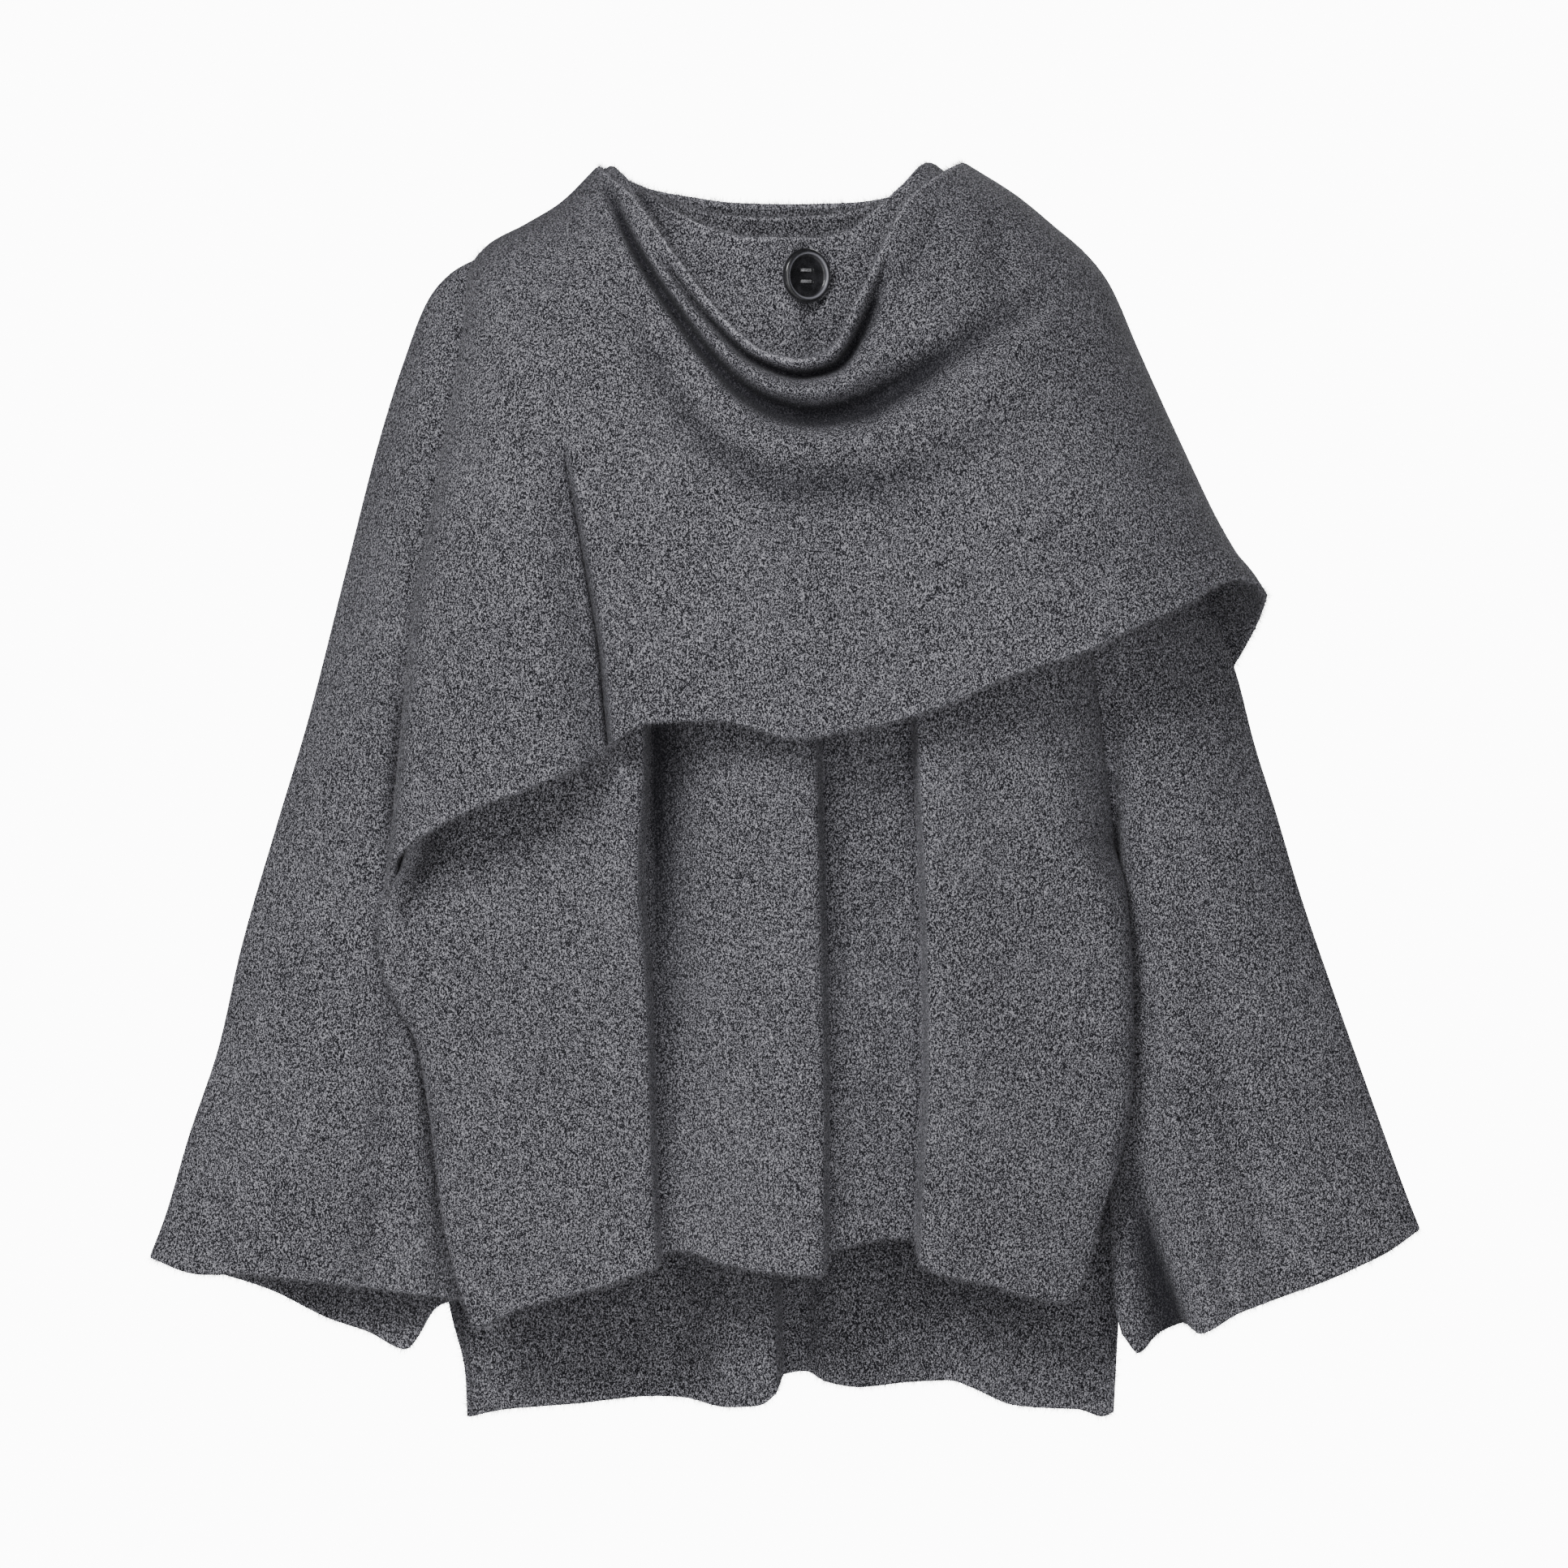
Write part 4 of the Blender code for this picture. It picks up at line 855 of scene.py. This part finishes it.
def in_place(corners):
    """Points of the button's own frame, face up, in the garment's frame."""
    right = np.array([np.cos(BUTTON_TURN), np.sin(BUTTON_TURN), 0])
    x, y, height = corners.T[..., None]
    return BUTTON_PLACE + x * right + y * np.array([0, 0, 1.0]) + height * BUTTON_OUT


def paint_highlight_ring(disc, radius, reach):
    """Marks a painted highlight ring on the disc's face: a bell of the reach off a radius, in `edge`."""
    corners = np.array([corner.co[:] for corner in disc.data.vertices]) / MM - BUTTON_PLACE
    height = corners @ BUTTON_OUT
    away = np.linalg.norm(corners - height[:, None] * BUTTON_OUT, axis=1) - radius
    mark(disc, "edge", np.where(height > 0, np.exp(-((away / reach) ** 2)), 0))


def with_holes(disc, cutters):
    """Cuts the cutters out of a disc and removes them."""
    for cutter in cutters:
        cut = disc.modifiers.new(cutter.name, "BOOLEAN")
        cut.object = cutter
        cut.solver = "EXACT"
    shown = disc.evaluated_get(bpy.context.evaluated_depsgraph_get())
    drilled = bpy.data.meshes.new_from_object(shown)
    disc.modifiers.clear()
    disc.data = drilled
    for cutter in cutters:
        bpy.data.objects.remove(cutter)
    drilled.shade_smooth()


class Value:
    """An output socket of a material, on which plain arithmetic adds Math nodes."""

    def __init__(self, finish, socket):
        self.finish, self.socket = finish, socket

    def math(self, operation, first, second):
        """The output of a Math node."""
        return self.finish.add("ShaderNodeMath", {"operation": operation}, {0: first, 1: second})

    def __add__(self, other):
        return self.math("ADD", self, other)

    def __radd__(self, other):
        return self.math("ADD", other, self)

    def __sub__(self, other):
        return self.math("SUBTRACT", self, other)

    def __rsub__(self, other):
        return self.math("SUBTRACT", other, self)

    def __mul__(self, other):
        return self.math("MULTIPLY", self, other)

    def __rmul__(self, other):
        return self.math("MULTIPLY", other, self)


def coloured(colour, share=1.0):
    """A colour with its alpha, lighter or darker by a share."""
    return (*(share * c for c in colour), 1)


class Finish:
    """A material in the making: constants go on its shader, and one method adds any other node."""

    def __init__(self, name, constants):
        self.material = bpy.data.materials.new(name)
        self.material.use_nodes = True
        self.tree = self.material.node_tree
        self.shader = self.tree.nodes["Principled BSDF"]
        self.shading(constants)
        self.place = self.add("ShaderNodeTexCoord", output=3)

    def add(self, kind, settings=None, inputs=None, output=0):
        """A new node's output, with its settings set and its inputs joined."""
        node = self.tree.nodes.new(kind)
        for name, value in (settings or {}).items():
            setattr(node, name, value)
        for name, value in (inputs or {}).items():
            self.join(value, node.inputs[name])
        return Value(self, node.outputs[output])

    def join(self, value, socket):
        """Links an output to an input socket, or sets the socket to a constant."""
        if isinstance(value, Value):
            self.tree.links.new(value.socket, socket)
        else:
            socket.default_value = value

    def shading(self, inputs):
        """Joins values to the shader's inputs by their names."""
        for name, value in inputs.items():
            self.join(value, self.shader.inputs[name])

    def step(self, value, low, high):
        """0 below low and 1 above high, with a soft rise between."""
        inputs = {"Value": value, "From Min": low, "From Max": high}
        return self.add("ShaderNodeMapRange", {"interpolation_type": "SMOOTHSTEP"}, inputs)

    def mix(self, share, first, second):
        """A colour between two, by a share."""
        return self.add("ShaderNodeMix", {"data_type": "RGBA"}, {0: share, 6: first, 7: second}, 2)

    def noise(self, scale, detail=1.0, roughness=0.5, place=None):
        """Noise from 0 to 1 over the object's own coordinates, or over the place that is named."""
        inputs = {"Vector": place or self.place, "Scale": scale, "Detail": detail, "Roughness": roughness}
        return self.add("ShaderNodeTexNoise", None, inputs)

    def marked(self, label):
        """The corners' values of that label, which `mark` gave them."""
        return self.add("ShaderNodeAttribute", {"attribute_name": label}, output=2)

    def bump(self, height, strength, distance):
        """Raises the surface by a height."""
        inputs = {"Height": height, "Strength": strength, "Distance": distance}
        self.shading({"Normal": self.add("ShaderNodeBump", None, inputs)})


# How the knit's tone is made: its strokes' two slants in degrees and how long they are; how many zones a
# metre has in which the slants trade places; how much finer and how strong the flecks are; the range of
# tones that counts from dark to light; patches a metre and their share; the painted highlight along a
# free edge, as a step and as a share; and how much the painted shade darkens the deepest folds.
STROKE_SLANTS, STROKE_LENGTH = (50, -46), 0.55
ZONE_SCALE, ZONE_RANGE = 26.0, (0.44, 0.56)
FLECK_SCALE, FLECK_SHARE = 1.3, 0.8
TONE_RANGE = (0.82, 1.22)
PATCH_SCALE, PATCH_SHARE = 14.0, 0.12
EDGE_HIGHLIGHT_LIFT, EDGE_HIGHLIGHT_GAIN = 0.05, 0.7
PAINTED_FOLD_SHADE_STRENGTH = 0.88


def knit_finish(settings):
    """Heathered wool: short light and dark strokes along two slants, which trade places over broad zones.

    Tone is a soft step of the strokes plus finer flecks. It mixes the dark and the light wool and
    raises the surface. A painted highlight lightens the free edges, and painted shade darkens the deep folds.
    """
    finish = Finish(
        "heathered_knit",
        {"Roughness": settings.roughness, "Specular IOR Level": 0.25, "Sheen Weight": settings.sheen,
         "Sheen Roughness": 0.45, "Sheen Tint": (0.86, 0.87, 0.93, 1)},
    )
    scale = (1 / settings.grain, 1 / settings.grain, STROKE_LENGTH / settings.grain)
    strokes = []
    for slant in STROKE_SLANTS:
        inputs = {"Vector": finish.place, "Rotation": (0, math.radians(slant), 0), "Scale": scale}
        along = finish.add("ShaderNodeMapping", None, inputs)
        strokes.append(finish.noise(1.0, roughness=0.6, place=along))
    zone = finish.step(finish.noise(ZONE_SCALE), *ZONE_RANGE)
    grain = strokes[0] * zone + strokes[1] * (1 - zone)
    fleck = finish.noise(FLECK_SCALE / settings.grain, detail=0.0)
    inputs = {"Value": grain + FLECK_SHARE * fleck, "From Min": TONE_RANGE[0], "From Max": TONE_RANGE[1]}
    tone = finish.add("ShaderNodeMapRange", None, inputs)
    patch = (finish.noise(PATCH_SCALE, detail=2.0) - 0.5) * PATCH_SHARE
    edge, hollow = finish.marked("edge"), finish.marked("hollow")
    # Painted highlight along the free edges, and painted shade darkening the deep folds.
    shade = (tone + patch + EDGE_HIGHLIGHT_LIFT * edge) * (1 + EDGE_HIGHLIGHT_GAIN * edge) * (1 - PAINTED_FOLD_SHADE_STRENGTH * hollow)
    finish.shading({"Base Color": finish.mix(shade, coloured(settings.dark), coloured(settings.light))})
    finish.bump(tone, strength=0.5, distance=0.0005)
    return finish.material


def fibre_finish(settings):
    """Loose fibres: each is as dark or light as the wool around it."""
    constants = {"Roughness": 0.9, "Specular IOR Level": 0.2, "Sheen Weight": settings.sheen}
    finish = Finish("loose_wool", constants)
    tone = finish.step(finish.noise(700.0, detail=0.0), low=0.3, high=0.75)
    finish.shading({"Base Color": finish.mix(tone, coloured(settings.dark), coloured(settings.light))})
    return finish.material


def horn_finish(settings):
    """Polished dark horn: faint cloudy streaks under a clear gloss, and a painted highlight ring on the rim.
    """
    finish = Finish("dark_horn", {"Specular IOR Level": 0.6, "Coat Weight": 0.5, "Coat Roughness": 0.12})
    cloud = finish.step(finish.noise(160.0, detail=3.0, roughness=0.6), low=0.35, high=0.7)
    # Cloudy streaks, and a painted highlight ring on the rim, make the horn paler.
    streaks_and_highlight = 0.08 * cloud + finish.marked("edge")
    colour = finish.mix(streaks_and_highlight, coloured(settings.colour), coloured(settings.colour, 20))
    finish.shading({"Base Color": colour, "Roughness": 0.2 + 0.18 * finish.noise(900.0, detail=2.0)})
    return finish.material


def thread_finish(settings):
    """Twisted thread, lit and dark by turns."""
    finish = Finish("thread", {"Roughness": 0.7, "Sheen Weight": 0.3})
    twist = finish.noise(2200.0)
    lit = finish.step(twist, low=0.35, high=0.65)
    colour = finish.mix(lit, coloured(settings.thread, 0.35), coloured(settings.thread))
    finish.shading({"Base Color": colour})
    finish.bump(twist, strength=0.6, distance=0.0002)
    return finish.material


def floor_finish(settings):
    """A pale matt floor with the faintest unevenness."""
    finish = Finish("pale_floor", {"Roughness": 0.9, "Specular IOR Level": 0.1})
    tone = finish.noise(3.0, detail=2.0)
    finish.shading({"Base Color": finish.mix(tone, coloured(settings.floor, 0.97), coloured(settings.floor))})
    return finish.material


def paint(piece, name, make, settings):
    """Gives a piece the material of that name, which is made once."""
    piece.data.materials.append(bpy.data.materials.get(name) or make(settings))


def dress(cloth, settings):
    """Puts a cloth piece in place of its solid, with its fibres."""
    flat, area, hung_from, seed = CUTS[cloth.name]
    thickness = settings.wall / MM
    piece = wall(cloth, thickness)
    piece.name = f"knit_{cloth.name}"
    paint(piece, "heathered_knit", knit_finish, settings)
    fuzz = fibres(
        cloth, thickness, settings.fibre / MM, settings.fibre_width / MM, settings.edge_fibres,
        settings.face_fibres / 1000, seed,
    )
    paint(fuzz, "loose_wool", fibre_finish, settings)
    for part in (piece, fuzz):
        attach(part, "root")
    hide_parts(cloth.name)


# Each cloth piece's cut in metres (width and length, laid flat, and area), what it hangs from, and the
# seed of its fibres.
CUTS = {
    "sweater_front": ((0.44, 0.64), 0.249, ["sweater_back"], 11),
    "sweater_back": ((0.43, 0.69), 0.258, ["sweater_front"], 12),
    "sleeve_right_front": ((0.19, 0.61), 0.057, ["sweater_front"], 21),
    "sleeve_right_back": ((0.19, 0.61), 0.06, ["sweater_back"], 22),
    "sleeve_left_front": ((0.19, 0.61), 0.064, ["sweater_front"], 23),
    "sleeve_left_back": ((0.19, 0.61), 0.063, ["sweater_back"], 24),
    "cape_front": ((0.55, 0.42), 0.14, ["sweater_front", "sleeve_left_front"], 31),
    "cape_back": ((0.55, 0.38), 0.144, ["sweater_back", "sleeve_left_back"], 32),
}


def number(name, description, default, unit="NONE", subtype="NONE"):
    """A setting that is one number."""
    return FloatProperty(name=name, description=description, default=default, unit=unit, subtype=subtype)


def tint(name, description, default):
    """A colour setting."""
    return FloatVectorProperty(name=name, description=description, default=default, subtype="COLOR")


class KnitSettings(bpy.types.PropertyGroup):
    """Sizes and colours of the knitted cloth."""

    wall: number("Thickness", "Thickness of the knit", 0.0026, "LENGTH")
    grain: number("Grain", "Width of one stroke of wool", 0.00075, "LENGTH")
    ripple: number("Ripple", "Height of faint ripples", 0.0005, "LENGTH")
    fibre: number("Fibre", "Length of a loose fibre", 0.0028, "LENGTH")
    fibre_width: number("Fibre width", "Width of a loose fibre at its root", 0.00018, "LENGTH")
    edge_fibres: number("Edge fibres", "Loose fibres per mm of free edge", 7.5)
    face_fibres: number("Face fibres", "Loose fibres per 1000 square mm", 26.0)
    roughness: number("Roughness", "Roughness of the wool", 0.95, subtype="FACTOR")
    sheen: number("Sheen", "Sheen of the wool's nap", 0.08, subtype="FACTOR")
    dark: tint("Dark wool", "Colour of the dark fibres", (0.012, 0.012, 0.016))
    light: tint("Light wool", "Colour of the light fibres", (0.6, 0.592, 0.652))
    step: number("Step", "Distance between grid points", 0.0026, "LENGTH")


class ButtonSettings(bpy.types.PropertyGroup):
    """Colours and fineness of the button."""

    colour: tint("Horn", "Colour of the button", (0.016, 0.016, 0.018))
    thread: tint("Thread", "Colour of the thread", (0.4, 0.4, 0.42))
    around: IntProperty(name="Segments", description="Steps around the button", default=96, min=24)


class StageSettings(bpy.types.PropertyGroup):
    """Floor, lights and camera."""

    floor: tint("Floor", "Colour of the floor", (0.9, 0.9, 0.9))
    floor_height: number("Floor height", "Height of the floor", -1.0, "LENGTH")
    floor_size: number("Floor size", "Side of the floor", 5.0, "LENGTH")
    distance: number("Camera distance", "From the garment to the camera", 7.0, "LENGTH")
    view_width: number("View width", "Width of the view at the garment", 0.85008, "LENGTH")
    view_middle: number("View middle", "Height of the view's middle", -0.31944, "LENGTH")
    key: number("Key light", "Power of the main light", 60.0, "POWER")
    fill: number("Fill light", "Power of the fill light", 21.0, "POWER")
    rear: number("Rear light", "Power of the light behind", 40.0, "POWER")
    ambient: number("Ambient", "Light from all round", 0.01)
    white: number("White", "Brightness of the surroundings as seen", 12.0)


class PONCHO_OT_sweater(bpy.types.Operator):
    """Builds the sweater's front and back."""

    bl_idname = "poncho.sweater"
    bl_label = "Sweater front and back"

    def execute(self, context):
        knit = context.scene.poncho_knit
        step, ripple = knit.step / MM, knit.ripple / MM
        front = body_panel(
            "sweater_front", -1, FRONT_TOP, FRONT_HEM, FRONT_RIGHT_EDGE, FRONT_LEFT_EDGE, FRONT_DEPTH,
            NECK_FRONT, BODY_FOLDS.values(), FRONT_STEP * step, ripple,
        )
        back = body_panel(
            "sweater_back", 1, BACK_TOP, BACK_HEM, BACK_RIGHT_EDGE, BACK_LEFT_EDGE, BACK_DEPTH,
            NECK_BACK, [], BACK_STEP * step, ripple,
        )
        slit = on_cloth(front, path(BUTTONHOLE, np.linspace(0, 1, LINE_POINTS)), knit.wall / MM / 2)
        buttonhole = mesh_object("buttonhole", *tube(slit, BUTTONHOLE_STITCH))
        paint(buttonhole, "loose_wool", fibre_finish, knit)
        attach(buttonhole, "root")
        dress(front, knit)
        dress(back, knit)
        return {"FINISHED"}


class PONCHO_OT_sleeves(bpy.types.Operator):
    """Builds both wide sleeves."""

    bl_idname = "poncho.sleeves"
    bl_label = "Sleeves"

    def execute(self, context):
        knit = context.scene.poncho_knit
        right = sleeve(
            "sleeve_right", RIGHT_SLEEVE_OUTER, RIGHT_SLEEVE_INNER, RIGHT_SLEEVE_FOLDS, [],
            RIGHT_CUFF_FRONT, RIGHT_CUFF_BACK, knit.ripple / MM,
        )
        left = sleeve(
            "sleeve_left", LEFT_SLEEVE_OUTER, LEFT_SLEEVE_INNER, LEFT_SLEEVE_FOLDS, [LEFT_CUFF_CREASE],
            LEFT_CUFF_FRONT, LEFT_CUFF_BACK, knit.ripple / MM,
        )
        for piece in right + left:
            dress(piece, knit)
        return {"FINISHED"}


class PONCHO_OT_cape(bpy.types.Operator):
    """Builds the cape's front, with its cowl, and its back."""

    bl_idname = "poncho.cape"
    bl_label = "Cape"

    def execute(self, context):
        knit = context.scene.poncho_knit
        front = cape_panel(
            "cape_front", -1, CAPE_FRONT_NECK, joined(CAPE_SHOULDER_RIGHT, CAPE_FREE_EDGE), CAPE_FRONT_HEM,
            CAPE_FRONT_DEPTH, COWL_FOLDS.values(), [FRONT_CREASE], CAPE_HEM_SWING,
            np.union1d(even_to_edges(*CAPE_FRONT_COLUMNS), CREASE_COLUMNS), CAPE_FRONT_ROWS, CAPE_FRONT_TURN,
            knit.ripple / MM,
        )
        back = cape_panel(
            "cape_back", 1, CAPE_BACK_NECK, joined(CAPE_SHOULDER_RIGHT, CAPE_BACK_FREE_EDGE), CAPE_BACK_HEM,
            CAPE_BACK_DEPTH, [], BACK_CREASES.values(), CAPE_BACK_SWING,
            even_to_edges(*CAPE_BACK_COLUMNS), CAPE_BACK_ROWS, CAPE_BACK_TURN, knit.ripple / MM,
        )
        dress(front, knit)
        dress(back, knit)
        return {"FINISHED"}


class PONCHO_OT_button(bpy.types.Operator):
    """Builds the button and the thread through its four holes."""

    bl_idname = "poncho.button"
    bl_label = "Button"

    def execute(self, context):
        settings = context.scene.poncho_button
        profile = path(BUTTON_PROFILE, np.linspace(0, 1, PROFILE_POINTS), "radius height")
        corners, faces = turned(profile, settings.around)
        disc = mesh_object("horn_button", in_place(corners), faces)
        corners, faces = turned(HOLE_CUTTER, LINE_POINTS)
        with_holes(disc, [
            mesh_object(f"hole_{number}", in_place(corners + [x, y, 0]), faces)
            for number, (x, y) in enumerate(BUTTON_HOLES)
        ])
        paint_highlight_ring(disc, HIGHLIGHT_RING_RADIUS, HIGHLIGHT_RING_REACH)
        paint(disc, "dark_horn", horn_finish, settings)
        along, height = path(STITCH_ARC, np.linspace(0, 1, LINE_POINTS), "along height").T
        threads = []
        for y in STITCH_ROWS:
            for shift in STITCH_SHIFTS:
                line = np.stack([along, y + shift + 0 * along, height], axis=-1)
                threads.append(tube(in_place(line), THREAD_RADIUS))
        thread = mesh_object("button_thread", *together(threads))
        paint(thread, "thread", thread_finish, settings)
        for part in (disc, thread):
            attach(part, "root")
        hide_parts("button")
        return {"FINISHED"}


# The lights: where each stands and its side, in metres. Their powers are settings of the same names.
LIGHTS = {
    "key": ((-1.15, -2.3, 1.4), 1.2),
    "fill": ((0.5, -2.6, -0.3), 1.8),
    "rear": ((1.4, 2.4, 0.8), 1.8),
}
SENSOR = 36.0  # the camera's, in millimetres
FARTHEST = 100.0  # as far as the camera sees, in metres


class PONCHO_OT_stage(bpy.types.Operator):
    """Sets up the pale floor, the soft lights and the camera."""

    bl_idname = "poncho.stage"
    bl_label = "Stage"

    def execute(self, context):
        settings = context.scene.poncho_stage
        half, height = settings.floor_size / 2 / MM, settings.floor_height / MM
        ground = [[half * x, half * y, height] for x, y in ((-1, -1), (1, -1), (1, 1), (-1, 1))]
        floor = mesh_object("floor", np.array(ground), [[0, 1, 2, 3]])
        paint(floor, "pale_floor", floor_finish, settings)
        surroundings(settings)
        target = Vector((0, 0, settings.view_middle))
        for name, (place, size) in LIGHTS.items():
            area_light(name, Vector(place), target, size, getattr(settings, name))
        camera = bpy.data.objects.new("camera", bpy.data.cameras.new("camera"))
        context.scene.collection.objects.link(camera)
        camera.location = target + Vector((0, -settings.distance, 0))
        camera.rotation_euler = (math.radians(90), 0, 0)
        camera.data.sensor_width = SENSOR
        camera.data.lens = SENSOR * settings.distance / settings.view_width
        camera.data.clip_end = FARTHEST
        context.scene.camera = camera
        return {"FINISHED"}


def surroundings(settings):
    """A white surrounding: faint where it lights the garment, and bright where the camera sees it."""
    world = bpy.data.worlds.new("surroundings")
    bpy.context.scene.world = world
    world.use_nodes = True
    nodes, links = world.node_tree.nodes, world.node_tree.links
    choice = nodes.new("ShaderNodeMixShader")
    links.new(nodes.new("ShaderNodeLightPath").outputs["Is Camera Ray"], choice.inputs[0])
    grounds = (nodes["Background"], nodes.new("ShaderNodeBackground"))
    for number, (ground, strength) in enumerate(zip(grounds, (settings.ambient, settings.white))):
        ground.inputs["Color"].default_value = (1, 1, 1, 1)
        ground.inputs["Strength"].default_value = strength
        links.new(ground.outputs[0], choice.inputs[1 + number])
    links.new(choice.outputs[0], nodes["World Output"].inputs["Surface"])


def area_light(name, place, target, size, power):
    """A square soft light at a place, turned to the target."""
    lamp = bpy.data.lights.new(name, "AREA")
    lamp.size, lamp.energy = size, power
    light = bpy.data.objects.new(name, lamp)
    bpy.context.scene.collection.objects.link(light)
    light.location = place
    light.rotation_euler = (target - place).to_track_quat("-Z", "Y").to_euler()


class PONCHO_PT_panel(bpy.types.Panel):
    """Lists the steps and their settings."""

    bl_label = "Poncho sweater"
    bl_space_type = "VIEW_3D"
    bl_region_type = "UI"
    bl_category = "Poncho"

    def draw(self, context):
        for operator in OPERATORS:
            self.layout.operator(operator.bl_idname)
        for group in (context.scene.poncho_knit, context.scene.poncho_button, context.scene.poncho_stage):
            box = self.layout.box()
            for name in group.__annotations__:
                box.prop(group, name)


OPERATORS = (PONCHO_OT_sweater, PONCHO_OT_sleeves, PONCHO_OT_cape, PONCHO_OT_button, PONCHO_OT_stage)
CLASSES = (KnitSettings, ButtonSettings, StageSettings, *OPERATORS, PONCHO_PT_panel)


def register():
    """Makes the classes and their settings known."""
    for cls in CLASSES:
        bpy.utils.register_class(cls)
    bpy.types.Scene.poncho_knit = PointerProperty(type=KnitSettings)
    bpy.types.Scene.poncho_button = PointerProperty(type=ButtonSettings)
    bpy.types.Scene.poncho_stage = PointerProperty(type=StageSettings)


def unregister():
    """Takes the settings and classes away again."""
    del bpy.types.Scene.poncho_knit, bpy.types.Scene.poncho_button, bpy.types.Scene.poncho_stage
    for cls in reversed(CLASSES):
        bpy.utils.unregister_class(cls)


def main():
    """Builds every group and the stage."""
    register()
    bpy.ops.poncho.sweater()
    bpy.ops.poncho.sleeves()
    bpy.ops.poncho.cape()
    bpy.ops.poncho.button()
    bpy.ops.poncho.stage()


if __name__ == "__main__":
    main()
